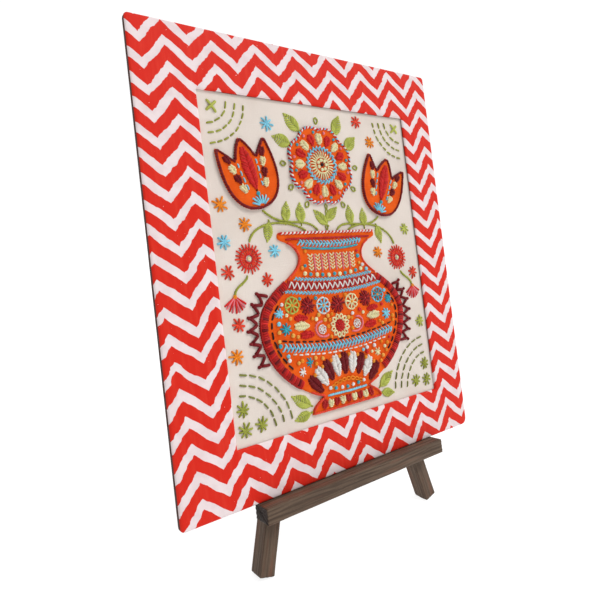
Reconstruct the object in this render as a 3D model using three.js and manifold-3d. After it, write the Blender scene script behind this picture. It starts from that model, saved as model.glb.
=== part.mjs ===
// A framed embroidered textile standing on a small wooden table easel.
// Millimetres, +Z up. The viewer stands at -Y, and +X is to the viewer's right.
import * as THREE from 'three';
import { mergeVertices } from 'three/addons/utils/BufferGeometryUtils.js';
import Module from 'manifold-3d';

// Gap left between pieces that touch.
const GAP = 0.3;

// The picture frame, a flat board covered in printed cloth.
const FRAME_WIDTH = 240;
const FRAME_HEIGHT = 280;
const FRAME_THICKNESS = 4.5;
const FRAME_CORNER_RADIUS = 2.5;
const FRAME_WORN_CORNER_RADIUS = 5;
const FRAME_EDGE_ROUND = 1.2;
const BAND_LEFT = 37.5;
const BAND_RIGHT = 31;
const BAND_TOP = 37;
const BAND_BOTTOM = 33;
const WINDOW_CORNER_RADIUS = 1;
const LIP_THICKNESS = 1.4;
const REBATE_WIDTH = 5;

// The cloth and card held in the frame's rebate.
const LINEN_THICKNESS = 1;
const PATCH_THICKNESS = 1;
const BACKING_THICKNESS = 1.4;

// The easel leans back by this angle, and the picture stands a little left of its middle.
const LEAN = THREE.MathUtils.degToRad(11.5);
const EASEL_SHIFT = 2.2;
const FLOOR_BELOW_PICTURE = 47.2;

// The ledge, a plain bar on the front of the legs.
const LEDGE_LENGTH = 151;
const LEDGE_DEPTH = 13.5;
const LEDGE_HEIGHT = 9.4;

// The splayed front legs, square-cut bars that meet a head block.
const LEG_WIDTH = 10;
const LEG_DEPTH = 11;
const LEG_SPLAY = THREE.MathUtils.degToRad(15.5);
const FOOT_HALF_SPACING = 72.4;
const FOOT_BELOW_PICTURE = 45.3;
const WOOD_EDGE_ROUND = 0.5;
const WOOD_CORNER_RADIUS = 0.8;

// The head block and the rear leg behind the picture.
const HEAD_WIDTH = 24;
const HEAD_HEIGHT = 40;
const REAR_LEG_WIDTH = 12;
const REAR_LEG_THICKNESS = 10;
const REAR_FOOT_BEHIND_PICTURE = 122;

// Depths behind the picture's front face, where the face itself is at 0.
const LINEN_FRONT = LIP_THICKNESS + GAP;
const PATCH_FRONT = LINEN_FRONT - GAP - PATCH_THICKNESS;
const BACKING_FRONT = LINEN_FRONT + LINEN_THICKNESS + GAP;
const LEG_FRONT = FRAME_THICKNESS + GAP;
const LEDGE_FRONT = LEG_FRONT - GAP - LEDGE_DEPTH;
const REAR_LEG_FRONT = LEG_FRONT + LEG_DEPTH + GAP;

// The window in the frame, and its middle, where the embroidered design is centred.
const WINDOW_WIDTH = FRAME_WIDTH - BAND_LEFT - BAND_RIGHT;
const WINDOW_HEIGHT = FRAME_HEIGHT - BAND_TOP - BAND_BOTTOM;
const WINDOW_X = BAND_LEFT + WINDOW_WIDTH / 2 - FRAME_WIDTH / 2;
const WINDOW_Z = BAND_BOTTOM + WINDOW_HEIGHT / 2;

// Right half of the vase patch as curves, from its foot up to its lip, in mm from the window's middle.
const VASE_FOOT = [30, -98];
const VASE_CURVES = [
  { name: 'foot', bend: [30, -94], ease: [26, -91], end: [19, -88] },
  { name: 'belly', bend: [34, -84], ease: [60, -68], end: [61, -41] },
  { name: 'shoulder', bend: [62, -17], ease: [30, -12], end: [27, 1] },
  { name: 'lip', bend: [26, 7], ease: [32, 12], end: [40, 14] },
  { name: 'rim', bend: [42, 15], ease: [42, 18], end: [40, 19] },
];

// Right half of a tulip patch, from its stem up to its middle petal, in mm from its own middle.
const TULIP_FOOT = [0, -21];
const TULIP_CURVES = [
  { name: 'outer petal', bend: [15, -21], ease: [24, -8], end: [18, 21] },
  { name: 'notch', bend: [13, 16], ease: [10, 13], end: [8, 10] },
  { name: 'middle petal', bend: [6, 15], ease: [4, 20], end: [0, 24] },
];
const TULIPS = [
  { side: 'left', x: -55, z: 55, turn: 16 },
  { side: 'right', x: 56, z: 50, turn: -20 },
];

// The scalloped rose patch.
const ROSE_X = 1;
const ROSE_Z = 64;
const ROSE_RADIUS = 27;
const ROSE_SCALLOP = 2.5;
const ROSE_LOBES = 8;
const ROSE_POINTS_PER_LOBE = 8;

const wasm = await Module();
wasm.setup();

const paint = (color, roughness) => new THREE.MeshStandardMaterial({ color, roughness, metalness: 0 });
const PRINTED_CLOTH = paint(0xe0463c, 0.75);
const LINEN_CLOTH = paint(0xddd3c6, 0.95);
const ORANGE_CLOTH = paint(0xea5a1c, 0.9);
const CARD = paint(0x9c8465, 0.9);
const STAINED_WOOD = paint(0x4e3f34, 0.7);

// A mesh from a geometry, named for its piece.
function piece(name, geometry, material) {
  const mesh = new THREE.Mesh(geometry, material);
  mesh.name = name;
  return mesh;
}

// A solid for cutting, made from a closed geometry.
function toSolid(geometry) {
  const bare = geometry.clone();
  bare.deleteAttribute('normal');
  bare.deleteAttribute('uv');
  const merged = mergeVertices(bare, 1e-4);
  return new wasm.Manifold(new wasm.Mesh({
    numProp: 3,
    vertProperties: Float32Array.from(merged.attributes.position.array),
    triVerts: Uint32Array.from(merged.index.array),
  }));
}

function toGeometry(solid) {
  const { vertProperties, triVerts } = solid.getMesh();
  const geometry = new THREE.BufferGeometry();
  geometry.setAttribute('position', new THREE.BufferAttribute(Float32Array.from(vertProperties), 3));
  geometry.setIndex(new THREE.BufferAttribute(Uint32Array.from(triVerts), 1));
  geometry.computeVertexNormals();
  return geometry;
}

// A flat plate of a shape drawn in X and Z, from a depth behind the picture's face, with rounded edges.
function plate(shape, front, thickness, round = 0) {
  const geometry = new THREE.ExtrudeGeometry(shape, {
    depth: thickness - 2 * round,
    bevelEnabled: round > 0,
    bevelThickness: round,
    bevelSize: round,
    bevelOffset: -round,
    bevelSegments: 3,
    curveSegments: 6,
  });
  geometry.rotateX(Math.PI / 2);
  geometry.translate(0, front + thickness - round, 0);
  return geometry;
}

// A rectangle with rounded corners, the last of them at the lower right with its own radius.
function roundedRectangle(Path, left, bottom, right, top, radius, lowerRight = radius) {
  const path = new Path();
  path.moveTo(left + radius, bottom);
  path.lineTo(right - lowerRight, bottom);
  path.absarc(right - lowerRight, bottom + lowerRight, lowerRight, -Math.PI / 2, 0);
  path.lineTo(right, top - radius);
  path.absarc(right - radius, top - radius, radius, 0, Math.PI / 2);
  path.lineTo(left + radius, top);
  path.absarc(left + radius, top - radius, radius, Math.PI / 2, Math.PI);
  path.lineTo(left, bottom + radius);
  path.absarc(left + radius, bottom + radius, radius, Math.PI, 1.5 * Math.PI);
  return path;
}

// A rectangle the size of the window, made larger or smaller by a margin on every side.
function windowRectangle(margin) {
  const halfWidth = WINDOW_WIDTH / 2 + margin;
  const halfHeight = WINDOW_HEIGHT / 2 + margin;
  return new THREE.Shape([
    new THREE.Vector2(WINDOW_X - halfWidth, WINDOW_Z - halfHeight),
    new THREE.Vector2(WINDOW_X + halfWidth, WINDOW_Z - halfHeight),
    new THREE.Vector2(WINDOW_X + halfWidth, WINDOW_Z + halfHeight),
    new THREE.Vector2(WINDOW_X - halfWidth, WINDOW_Z + halfHeight),
  ]);
}

// The frame board: rounded all round, with a rebate at the back that holds the linen and its card.
function frame() {
  const outline = roundedRectangle(
    THREE.Shape, -FRAME_WIDTH / 2, 0, FRAME_WIDTH / 2, FRAME_HEIGHT,
    FRAME_CORNER_RADIUS, FRAME_WORN_CORNER_RADIUS,
  );
  outline.holes.push(roundedRectangle(
    THREE.Path,
    WINDOW_X - WINDOW_WIDTH / 2, WINDOW_Z - WINDOW_HEIGHT / 2,
    WINDOW_X + WINDOW_WIDTH / 2, WINDOW_Z + WINDOW_HEIGHT / 2,
    WINDOW_CORNER_RADIUS,
  ));
  const board = toSolid(plate(outline, 0, FRAME_THICKNESS, FRAME_EDGE_ROUND));
  const rebate = toSolid(plate(windowRectangle(REBATE_WIDTH), LIP_THICKNESS, FRAME_THICKNESS));
  return piece('frame', toGeometry(board.subtract(rebate)), PRINTED_CLOTH);
}

function linen() {
  const cloth = plate(windowRectangle(REBATE_WIDTH - GAP), LINEN_FRONT, LINEN_THICKNESS);
  return piece('linen', cloth, LINEN_CLOTH);
}

function backingBoard() {
  const card = plate(windowRectangle(REBATE_WIDTH - GAP), BACKING_FRONT, BACKING_THICKNESS);
  return piece('backing_board', card, CARD);
}

// An outline that is the same on both sides, from the curves of its right half.
function mirroredShape(foot, curves) {
  const shape = new THREE.Shape();
  shape.moveTo(...foot);
  for (const { bend, ease, end } of curves) {
    shape.bezierCurveTo(...bend, ...ease, ...end);
  }
  const ends = [foot, ...curves.map((curve) => curve.end)];
  const top = ends.at(-1);
  if (top[0] > 0) {
    shape.lineTo(-top[0], top[1]);
  }
  for (let i = curves.length - 1; i >= 0; i -= 1) {
    const { bend, ease } = curves[i];
    const [x, z] = ends[i];
    shape.bezierCurveTo(-ease[0], ease[1], -bend[0], bend[1], -x, z);
  }
  return shape;
}

// A cloth patch on the linen, placed by its middle and turned in the plane of the picture.
function patch(name, shape, x, z, turnDegrees = 0) {
  const geometry = plate(shape, 0, PATCH_THICKNESS);
  geometry.rotateY(-THREE.MathUtils.degToRad(turnDegrees));
  geometry.translate(WINDOW_X + x, PATCH_FRONT, WINDOW_Z + z);
  return piece(name, geometry, ORANGE_CLOTH);
}

function roseShape() {
  const count = ROSE_LOBES * ROSE_POINTS_PER_LOBE;
  const points = [];
  for (let i = 0; i < count; i += 1) {
    const angle = (2 * Math.PI * i) / count;
    const scallop = Math.abs(Math.sin((ROSE_LOBES * angle) / 2));
    const radius = ROSE_RADIUS - ROSE_SCALLOP * (1 - scallop);
    points.push(new THREE.Vector2(radius * Math.cos(angle), radius * Math.sin(angle)));
  }
  return new THREE.Shape(points);
}

function patches() {
  const vase = patch('vase_patch', mirroredShape(VASE_FOOT, VASE_CURVES), 0, 0);
  const rose = patch('rose_patch', roseShape(), ROSE_X, ROSE_Z);
  const tulips = TULIPS.map(({ side, x, z, turn }) => (
    patch(`tulip_patch_${side}`, mirroredShape(TULIP_FOOT, TULIP_CURVES), x, z, turn)
  ));
  return [vase, rose, ...tulips];
}

// The ledge, just under the picture's lower edge.
function ledge() {
  const bar = roundedRectangle(
    THREE.Shape, EASEL_SHIFT - LEDGE_LENGTH / 2, -GAP - LEDGE_HEIGHT,
    EASEL_SHIFT + LEDGE_LENGTH / 2, -GAP, WOOD_CORNER_RADIUS,
  );
  return piece('ledge', plate(bar, LEDGE_FRONT, LEDGE_DEPTH, WOOD_EDGE_ROUND), STAINED_WOOD);
}

// The half-space under the floor, as a solid in the leaning frame of the picture.
function underFloor() {
  const size = 1000;
  const slab = new THREE.BoxGeometry(size, size, size);
  slab.translate(0, 0, -size / 2 - FLOOR_BELOW_PICTURE);
  slab.rotateX(LEAN);
  return toSolid(slab);
}

// A front leg: square-cut at its splayed foot, cut upright where it meets the head block, and worn
// to a small flat where its lowest corner stands on the floor. Side is -1 at the left, 1 at the right.
function frontLeg(name, side) {
  const along = new THREE.Vector2(-side * Math.sin(LEG_SPLAY), Math.cos(LEG_SPLAY));
  const across = new THREE.Vector2(Math.cos(LEG_SPLAY), side * Math.sin(LEG_SPLAY));
  const foot = new THREE.Vector2(side * FOOT_HALF_SPACING, -FOOT_BELOW_PICTURE);
  const headX = side * (HEAD_WIDTH / 2 + GAP);
  const edge = (offset) => {
    const low = foot.clone().addScaledVector(across, offset);
    const high = low.clone().addScaledVector(along, (headX - low.x) / along.x);
    return [low, high];
  };
  const [leftLow, leftHigh] = edge(-LEG_WIDTH / 2);
  const [rightLow, rightHigh] = edge(LEG_WIDTH / 2);
  const shape = new THREE.Shape([leftLow, rightLow, rightHigh, leftHigh]);
  const bar = plate(shape, LEG_FRONT, LEG_DEPTH, WOOD_EDGE_ROUND);
  bar.translate(EASEL_SHIFT, 0, 0);
  return piece(name, toGeometry(toSolid(bar).subtract(underFloor())), STAINED_WOOD);
}

// Height of the middle of the legs' upper ends, up the leaning plane of the easel.
function headMiddle() {
  const run = FOOT_HALF_SPACING - HEAD_WIDTH / 2;
  return run / Math.tan(LEG_SPLAY) - FOOT_BELOW_PICTURE;
}

function headBlock() {
  const middle = headMiddle();
  const block = roundedRectangle(
    THREE.Shape, EASEL_SHIFT - HEAD_WIDTH / 2, middle - HEAD_HEIGHT / 2,
    EASEL_SHIFT + HEAD_WIDTH / 2, middle + HEAD_HEIGHT / 2, WOOD_CORNER_RADIUS,
  );
  return piece('head_block', plate(block, LEG_FRONT, LEG_DEPTH, WOOD_EDGE_ROUND), STAINED_WOOD);
}

// The rear leg: its upper end lies flat on the back of the head block, its foot flat on the floor.
// Its side outline is drawn in Y and Z of the upright model and pulled out along X.
function rearLeg() {
  const upright = (depth, height) => new THREE.Vector2(
    depth * Math.cos(LEAN) + height * Math.sin(LEAN),
    -depth * Math.sin(LEAN) + height * Math.cos(LEAN),
  );
  const hip = upright(REAR_LEG_FRONT, headMiddle());
  const faceUp = new THREE.Vector2(Math.sin(LEAN), Math.cos(LEAN));
  const foot = new THREE.Vector2(REAR_FOOT_BEHIND_PICTURE, -FLOOR_BELOW_PICTURE);
  const down = foot.clone().sub(hip).normalize();
  const acrossLeg = new THREE.Vector2(-down.y, down.x);
  const meet = (offset) => {
    const start = hip.clone().addScaledVector(acrossLeg, offset);
    const toFloor = (-FLOOR_BELOW_PICTURE - start.y) / down.y;
    const toFace = start.clone().sub(hip).cross(faceUp) / faceUp.cross(down);
    return [start.clone().addScaledVector(down, toFace), start.clone().addScaledVector(down, toFloor)];
  };
  const [frontTop, frontFoot] = meet(-REAR_LEG_THICKNESS / 2);
  const [backTop, backFoot] = meet(REAR_LEG_THICKNESS / 2);
  const side = new THREE.Shape([frontFoot, backFoot, backTop, frontTop]);
  const bar = new THREE.ExtrudeGeometry(side, { depth: REAR_LEG_WIDTH, bevelEnabled: false });
  bar.rotateX(Math.PI / 2);
  bar.rotateZ(Math.PI / 2);
  bar.translate(EASEL_SHIFT - REAR_LEG_WIDTH / 2, 0, 0);
  return piece('rear_leg', bar, STAINED_WOOD);
}

// The picture and the easel's front share one leaning frame, whose origin is the middle of the
// picture's lower front edge.
const leaning = new THREE.Group();
leaning.rotation.x = -LEAN;
leaning.add(frame(), linen(), backingBoard(), ...patches());
leaning.add(ledge(), frontLeg('leg_left', -1), frontLeg('leg_right', 1), headBlock());

const model = new THREE.Group();
model.add(leaning, rearLeg());

// The whole stands on z = 0, centred on the origin.
model.updateMatrixWorld(true);
const bounds = new THREE.Box3().setFromObject(model, true);
const middle = bounds.getCenter(new THREE.Vector3());
model.position.set(-middle.x, -middle.y, -bounds.min.z);

export default model;
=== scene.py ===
import math

import bpy
import numpy as np
from mathutils import Matrix, Vector


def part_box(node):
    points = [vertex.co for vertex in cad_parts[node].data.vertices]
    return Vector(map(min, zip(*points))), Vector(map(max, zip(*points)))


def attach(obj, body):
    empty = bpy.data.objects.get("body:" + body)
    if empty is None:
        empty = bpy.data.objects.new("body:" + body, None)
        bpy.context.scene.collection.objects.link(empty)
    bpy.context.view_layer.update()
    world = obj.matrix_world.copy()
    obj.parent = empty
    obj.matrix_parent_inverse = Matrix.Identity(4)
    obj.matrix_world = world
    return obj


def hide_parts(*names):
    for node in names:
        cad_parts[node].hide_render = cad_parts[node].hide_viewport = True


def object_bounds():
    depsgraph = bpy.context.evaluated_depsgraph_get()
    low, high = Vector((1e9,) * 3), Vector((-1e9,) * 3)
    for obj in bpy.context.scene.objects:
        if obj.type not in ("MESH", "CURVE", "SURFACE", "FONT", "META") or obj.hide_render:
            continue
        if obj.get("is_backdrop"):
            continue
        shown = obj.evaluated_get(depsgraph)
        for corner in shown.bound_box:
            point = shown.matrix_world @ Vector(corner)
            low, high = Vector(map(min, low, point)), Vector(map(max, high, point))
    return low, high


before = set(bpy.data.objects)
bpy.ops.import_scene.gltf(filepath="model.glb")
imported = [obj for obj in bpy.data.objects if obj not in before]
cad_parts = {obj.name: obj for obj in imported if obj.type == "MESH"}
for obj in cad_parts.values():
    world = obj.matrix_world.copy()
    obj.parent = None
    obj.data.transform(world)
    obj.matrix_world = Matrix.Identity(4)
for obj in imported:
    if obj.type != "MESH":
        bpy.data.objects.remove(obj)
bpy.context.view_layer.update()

# The view: a camera a little above the middle of the picture and well to its left, close enough
# that the near edge looks much taller than the far one. It is turned, tipped and rolled in that order,
# and the middle of its lens lies a little left of the frame's middle and above it.
CAMERA_PLACE = (-0.1997, -0.27388, 0.21128)
CAMERA_TURN = math.radians(-32.974)
CAMERA_TIP = math.radians(81.914)
CAMERA_ROLL = math.radians(-0.489)
CAMERA_LENS = 28.2
CAMERA_SENSOR = 36
CAMERA_NEAR = 0.01
CAMERA_SHIFT = (0.0401, -0.0286)

camera_data = bpy.data.cameras.new("camera")
camera_data.lens = CAMERA_LENS
camera_data.sensor_width = CAMERA_SENSOR
camera_data.shift_x, camera_data.shift_y = CAMERA_SHIFT
camera_data.clip_start = CAMERA_NEAR
camera = bpy.data.objects.new("camera", camera_data)
camera.matrix_world = (
    Matrix.Translation(CAMERA_PLACE)
    @ Matrix.Rotation(CAMERA_TURN, 4, "Z")
    @ Matrix.Rotation(CAMERA_TIP, 4, "X")
    @ Matrix.Rotation(CAMERA_ROLL, 4, "Z")
)
bpy.context.scene.collection.objects.link(camera)
bpy.context.scene.camera = camera

# The floor and light: a wide pale floor that glows like a light table, so that hardly a shadow falls
# on it, and one sun high on the viewer's right. The room looks white all round, and gives more light
# from behind the picture and from the right, so the faces that look left are the darker ones.
WHITE_LIGHT = (1.0, 1.0, 1.0, 1.0)
FLOOR_HALF_WIDTH = 40.0
FLOOR_PAINT = (0.3, 0.3, 0.3, 1.0)
FLOOR_GLOW = 0.86
ROOM_WALL = 1.05
ROOM_LIGHT = 0.55
ROOM_LIGHT_SLOPE = (0.36, 0.46, 0.3)
SUN_FROM = (0.5, -0.5, 0.9)
SUN_STRENGTH = 1.5
SUN_BREADTH = math.radians(20)
MM = 0.001


class Finish:
    """One finish: a shader whose even values are set on it, and short ways to add nodes to it."""

    def __init__(self, name, **even_values):
        self.material = bpy.data.materials.new(name)
        self.material.use_nodes = True
        self.nodes = self.material.node_tree.nodes
        self.links = self.material.node_tree.links
        self.shader = self.nodes["Principled BSDF"]
        for socket, value in even_values.items():
            self.shader.inputs[socket.replace("_", " ")].default_value = value

    def feed(self, socket, value):
        if isinstance(value, bpy.types.NodeSocket):
            self.links.new(value, socket)
        elif value is not None:
            socket.default_value = value

    def put(self, kind, *values, **settings):
        """Adds a node with its settings and its inputs in their order, and gives it back."""
        node = self.nodes.new("ShaderNode" + kind)
        for setting, value in settings.items():
            setattr(node, setting, value)
        for socket, value in zip(node.inputs, values):
            self.feed(socket, value)
        return node

    def reckon(self, operation, *values):
        return self.put("Math", *values, operation=operation).outputs[0]

    def times(self, first, second):
        return self.reckon("MULTIPLY", first, second)

    def plus(self, first, second):
        return self.reckon("ADD", first, second)

    def less(self, first, second):
        return self.reckon("SUBTRACT", first, second)

    def times_plus(self, first, second, third):
        return self.reckon("MULTIPLY_ADD", first, second, third)

    def reckon_places(self, operation, *values):
        return self.put("VectorMath", *values, operation=operation).outputs[0]

    def parts(self, place):
        return self.put("SeparateXYZ", place).outputs[:3]

    def place(self, x, y, z=0.0):
        return self.put("CombineXYZ", x, y, z).outputs[0]

    def marked(self, name, output="Vector"):
        return self.put("Attribute", attribute_name=name).outputs[output]

    def noise(self, place, size, detail=2.0, squeeze=None):
        """Soft random values whose blotches have about this size in the place's own units, and are drawn
        out along each axis on which the place is squeezed."""
        if squeeze:
            place = self.reckon_places("MULTIPLY", place, squeeze)
        node = self.put("TexNoise")
        self.feed(node.inputs["Vector"], place)
        node.inputs["Scale"].default_value = 1 / size
        node.inputs["Detail"].default_value = detail
        return node.outputs[0]

    def between(self, value, *ends):
        """A soft step from one result to the other, 0 and 1 if none are given, as the value goes from
        low to high."""
        return self.put("MapRange", value, *ends, interpolation_type="SMOOTHSTEP").outputs[0]

    def blend(self, share, first, second):
        node = self.put("Mix", data_type="RGBA")
        self.feed(node.inputs[0], share)
        self.feed(node.inputs[6], first)
        self.feed(node.inputs[7], second)
        return node.outputs[2]

    def raise_by(self, height, millimetres, under=None):
        """Relief in the surface: height from 0 to 1, this high."""
        node = self.put("Bump")
        self.feed(node.inputs["Height"], height)
        node.inputs["Distance"].default_value = millimetres * MM
        self.feed(node.inputs["Normal"], under)
        return node.outputs[0]

    def use(self, **sockets):
        for socket, value in sockets.items():
            self.feed(self.shader.inputs[socket.replace("_", " ")], value)
        return self.material


world = bpy.data.worlds.new("white_room")
world.use_nodes = True
world_nodes = world.node_tree.nodes
world_links = world.node_tree.links
toward = world_nodes.new("ShaderNodeTexCoord")
along_slope = world_nodes.new("ShaderNodeVectorMath")
along_slope.operation = "DOT_PRODUCT"
along_slope.inputs[1].default_value = ROOM_LIGHT_SLOPE
brightness = world_nodes.new("ShaderNodeMath")
brightness.inputs[1].default_value = ROOM_LIGHT
seen = world_nodes.new("ShaderNodeLightPath")
seen_or_lighting = world_nodes.new("ShaderNodeMix")
seen_or_lighting.inputs["B"].default_value = ROOM_WALL
world_links.new(toward.outputs["Generated"], along_slope.inputs[0])
world_links.new(along_slope.outputs["Value"], brightness.inputs[0])
world_links.new(seen.outputs["Is Camera Ray"], seen_or_lighting.inputs["Factor"])
world_links.new(brightness.outputs[0], seen_or_lighting.inputs["A"])
world_links.new(seen_or_lighting.outputs["Result"], world_nodes["Background"].inputs["Strength"])
world_nodes["Background"].inputs["Color"].default_value = WHITE_LIGHT
bpy.context.scene.world = world
bpy.context.scene.view_settings.view_transform = "Standard"

sun = bpy.data.lights.new("sun", "SUN")
sun.energy = SUN_STRENGTH
sun.angle = SUN_BREADTH
sun_lamp = bpy.data.objects.new("sun", sun)
sun_lamp.rotation_euler = Vector(SUN_FROM).to_track_quat("Z", "Y").to_euler()
bpy.context.scene.collection.objects.link(sun_lamp)

floor_mesh = bpy.data.meshes.new("floor")
floor_mesh.from_pydata(
    [(x * FLOOR_HALF_WIDTH, y * FLOOR_HALF_WIDTH, 0) for x, y in ((-1, -1), (1, -1), (1, 1), (-1, 1))],
    [], [(0, 1, 2, 3)],
)
floor = bpy.data.objects.new("floor", floor_mesh)
floor_paint = Finish(
    "floor_paint", Base_Color=FLOOR_PAINT, Roughness=1.0, Specular_IOR_Level=0.0,
    Emission_Color=WHITE_LIGHT, Emission_Strength=FLOOR_GLOW,
)
floor_mesh.materials.append(floor_paint.material)
bpy.context.scene.collection.objects.link(floor)
floor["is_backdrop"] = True

# The printed cover: thin cotton block-printed with red zigzags, stretched over a flat board and glued.
# It is one cut sheet with a window, turned over the outer edge on to the back and over the window's edge.

# Sizes on the picture are in millimetres: across from its middle, up from its lower edge, and out from
# its front face towards the viewer.
LEAN = math.radians(11.5)
FRAME_WIDTH = 240
FRAME_HEIGHT = 280
FRAME_THICKNESS = 4.5
FRAME_CORNER_RADIUS = 2.5
FRAME_WORN_CORNER_RADIUS = 5
FRAME_EDGE_ROUND = 1.2
BAND_LEFT = 37.5
BAND_RIGHT = 31
BAND_TOP = 37
BAND_BOTTOM = 33
WINDOW_CORNER_RADIUS = 1
LIP_THICKNESS = 1.4
COVER_INSIDE = 0.04
COVER_OUTSIDE = 0.2
COVER_TURNING = 14
COVER_PUCKER = 0.09
COVER_LIP_REACH = 0.2
TURNING_RINGS = (1, 0.66, 0.33, 0.08)
FACE_RINGS = 18
ROUND_RINGS = 5

# The picture is placed by its linen, whose face and back lie this deep behind the picture's face,
# and which reaches this far under the lip of the window.
LINEN_FRONT = 1.7
LINEN_BACK = 2.7
LINEN_MARGIN = 4.7

window_left = BAND_LEFT - FRAME_WIDTH / 2
window_right = FRAME_WIDTH / 2 - BAND_RIGHT
window_bottom = BAND_BOTTOM
window_top = FRAME_HEIGHT - BAND_TOP

# The middle of the picture's lower front edge, worked out from where the linen's lower edge lies.
linen_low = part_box("linen")[0]
linen_foot = window_bottom - LINEN_MARGIN
picture_y = linen_low.y - MM * (LINEN_FRONT * math.cos(LEAN) + linen_foot * math.sin(LEAN))
picture_z = linen_low.z - MM * (linen_foot * math.cos(LEAN) - LINEN_BACK * math.sin(LEAN))


def on_picture(across, up, out):
    """Points in metres in the frame, from millimetres across, up and out of the leaning picture."""
    across, up, out = np.broadcast_arrays(across, up, out)
    return np.stack([
        across * MM,
        picture_y + MM * (up * math.sin(LEAN) - out * math.cos(LEAN)),
        picture_z + MM * (up * math.cos(LEAN) + out * math.sin(LEAN)),
    ], -1)


def make_piece(name, points, faces, materials):
    """A smooth-shaded piece that rides with the part, from points in metres."""
    mesh = bpy.data.meshes.new(name)
    mesh.from_pydata(points.reshape(-1, 3).tolist(), [], faces)
    mesh.shade_smooth()
    for material in materials:
        mesh.materials.append(material)
    made = bpy.data.objects.new(name, mesh)
    bpy.context.scene.collection.objects.link(made)
    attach(made, "root")
    return made


def mark_points(piece, name, values):
    """Keeps a value or a place for each point, for the finish to read."""
    values = np.asarray(values, np.float32)
    if values.ndim == 1:
        piece.data.attributes.new(name, "FLOAT", "POINT").data.foreach_set("value", values)
    else:
        piece.data.attributes.new(name, "FLOAT_VECTOR", "POINT").data.foreach_set("vector", values.ravel())


def grid_faces(rows, columns, closed_rows=False, closed_columns=False):
    """Four-sided faces of a grid of points kept row by row."""
    faces = []
    for row in range(rows if closed_rows else rows - 1):
        for column in range(columns if closed_columns else columns - 1):
            next_row = (row + 1) % rows
            next_column = (column + 1) % columns
            faces.append((
                row * columns + column,
                row * columns + next_column,
                next_row * columns + next_column,
                next_row * columns + column,
            ))
    return faces


def ray(degrees):
    """A way of length 1, turned anticlockwise from the right as the viewer sees it."""
    return np.array([math.cos(math.radians(degrees)), math.sin(math.radians(degrees))])


def rounded_rectangle(left, bottom, right, top, radius, lower_right_radius, corner_steps=6, side_steps=60):
    """Points round a rectangle with rounded corners, and the outward way at each point."""
    corners = [
        (right - lower_right_radius, bottom + lower_right_radius, lower_right_radius, -90),
        (right - radius, top - radius, radius, 0),
        (left + radius, top - radius, radius, 90),
        (left + radius, bottom + radius, radius, 180),
    ]
    points, ways = [], []
    for x, y, bend, start in corners:
        for angle in np.linspace(start, start + 90, corner_steps):
            ways.append(ray(angle))
            points.append((x, y) + bend * ways[-1])
    points, ways = np.array(points), np.array(ways)
    all_points, all_ways = [], []
    for corner in range(4):
        here = slice(corner * corner_steps, (corner + 1) * corner_steps)
        all_points.append(points[here])
        all_ways.append(ways[here])
        end = (corner + 1) * corner_steps - 1
        start = (end + 1) % len(points)
        share = np.linspace(0, 1, side_steps + 2)[1:-1, None]
        all_points.append(points[end] * (1 - share) + points[start] * share)
        all_ways.append(np.repeat(ways[end][None], side_steps, 0))
    return np.concatenate(all_points), np.concatenate(all_ways)


def pucker(across, up):
    """Slow rise and fall of glued or stretched cloth, from -1 to 1."""
    return (
        np.sin(across / 17 + 1.3 * np.sin(up / 31)) * np.cos(up / 23 + 0.9 * np.sin(across / 37))
        + 0.5 * np.sin(across / 7.3 + up / 11.9) * np.cos(up / 8.1 - across / 21)
    ) / 1.5


half_width = FRAME_WIDTH / 2
outer, outer_way = rounded_rectangle(
    -half_width, 0, half_width, FRAME_HEIGHT, FRAME_CORNER_RADIUS, FRAME_WORN_CORNER_RADIUS,
)
turned, _ = rounded_rectangle(
    COVER_TURNING - half_width, COVER_TURNING, half_width - COVER_TURNING, FRAME_HEIGHT - COVER_TURNING,
    FRAME_EDGE_ROUND, FRAME_EDGE_ROUND,
)
window, window_way = rounded_rectangle(
    window_left, window_bottom, window_right, window_top, WINDOW_CORNER_RADIUS, WINDOW_CORNER_RADIUS,
)


def cover_layer(skin):
    """Rings of points of the cover at one height above the board, from the back round to the window,
    and where each lies on the flat cloth."""
    quarter = np.radians(np.linspace(0, 90, ROUND_RINGS))
    round_run = FRAME_EDGE_ROUND * math.pi / 2
    side_run = FRAME_THICKNESS - 2 * FRAME_EDGE_ROUND
    reach = FRAME_EDGE_ROUND + skin
    rings = []

    def add(ring, out, flat):
        rings.append((ring, np.broadcast_to(out, len(ring)), flat))

    def round_edge(base, way, angles, middle_out, facing, flat_start):
        """Rings round a rounded edge whose middle is the base, on its front, facing 1, or its back."""
        for angle in angles:
            flat = base + way * (flat_start - facing * FRAME_EDGE_ROUND * angle)
            add(base + way * reach * math.cos(angle), middle_out + facing * reach * math.sin(angle), flat)

    folded = outer - outer_way * FRAME_EDGE_ROUND
    for share in TURNING_RINGS:
        flat = folded + outer_way * (2 * round_run + side_run + share * COVER_TURNING)
        add(folded * (1 - share) + turned * share, -FRAME_THICKNESS - skin, flat)
    back_middle = FRAME_EDGE_ROUND - FRAME_THICKNESS
    round_edge(folded, outer_way, quarter[::-1], back_middle, -1, round_run + side_run)
    round_edge(folded, outer_way, quarter, -FRAME_EDGE_ROUND, 1, round_run)
    bent = window + window_way * FRAME_EDGE_ROUND
    for share in np.linspace(0, 1, FACE_RINGS + 2)[1:-1]:
        ring = folded * (1 - share) + bent * share
        rise = COVER_PUCKER * (1 + pucker(ring[:, 0], ring[:, 1])) * math.sin(math.pi * share)
        add(ring, skin + rise, ring)
    round_edge(bent, -window_way, quarter[::-1], -FRAME_EDGE_ROUND, 1, round_run)
    add(bent - window_way * reach, -LIP_THICKNESS, bent - window_way * (round_run + COVER_LIP_REACH))
    return rings


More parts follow.
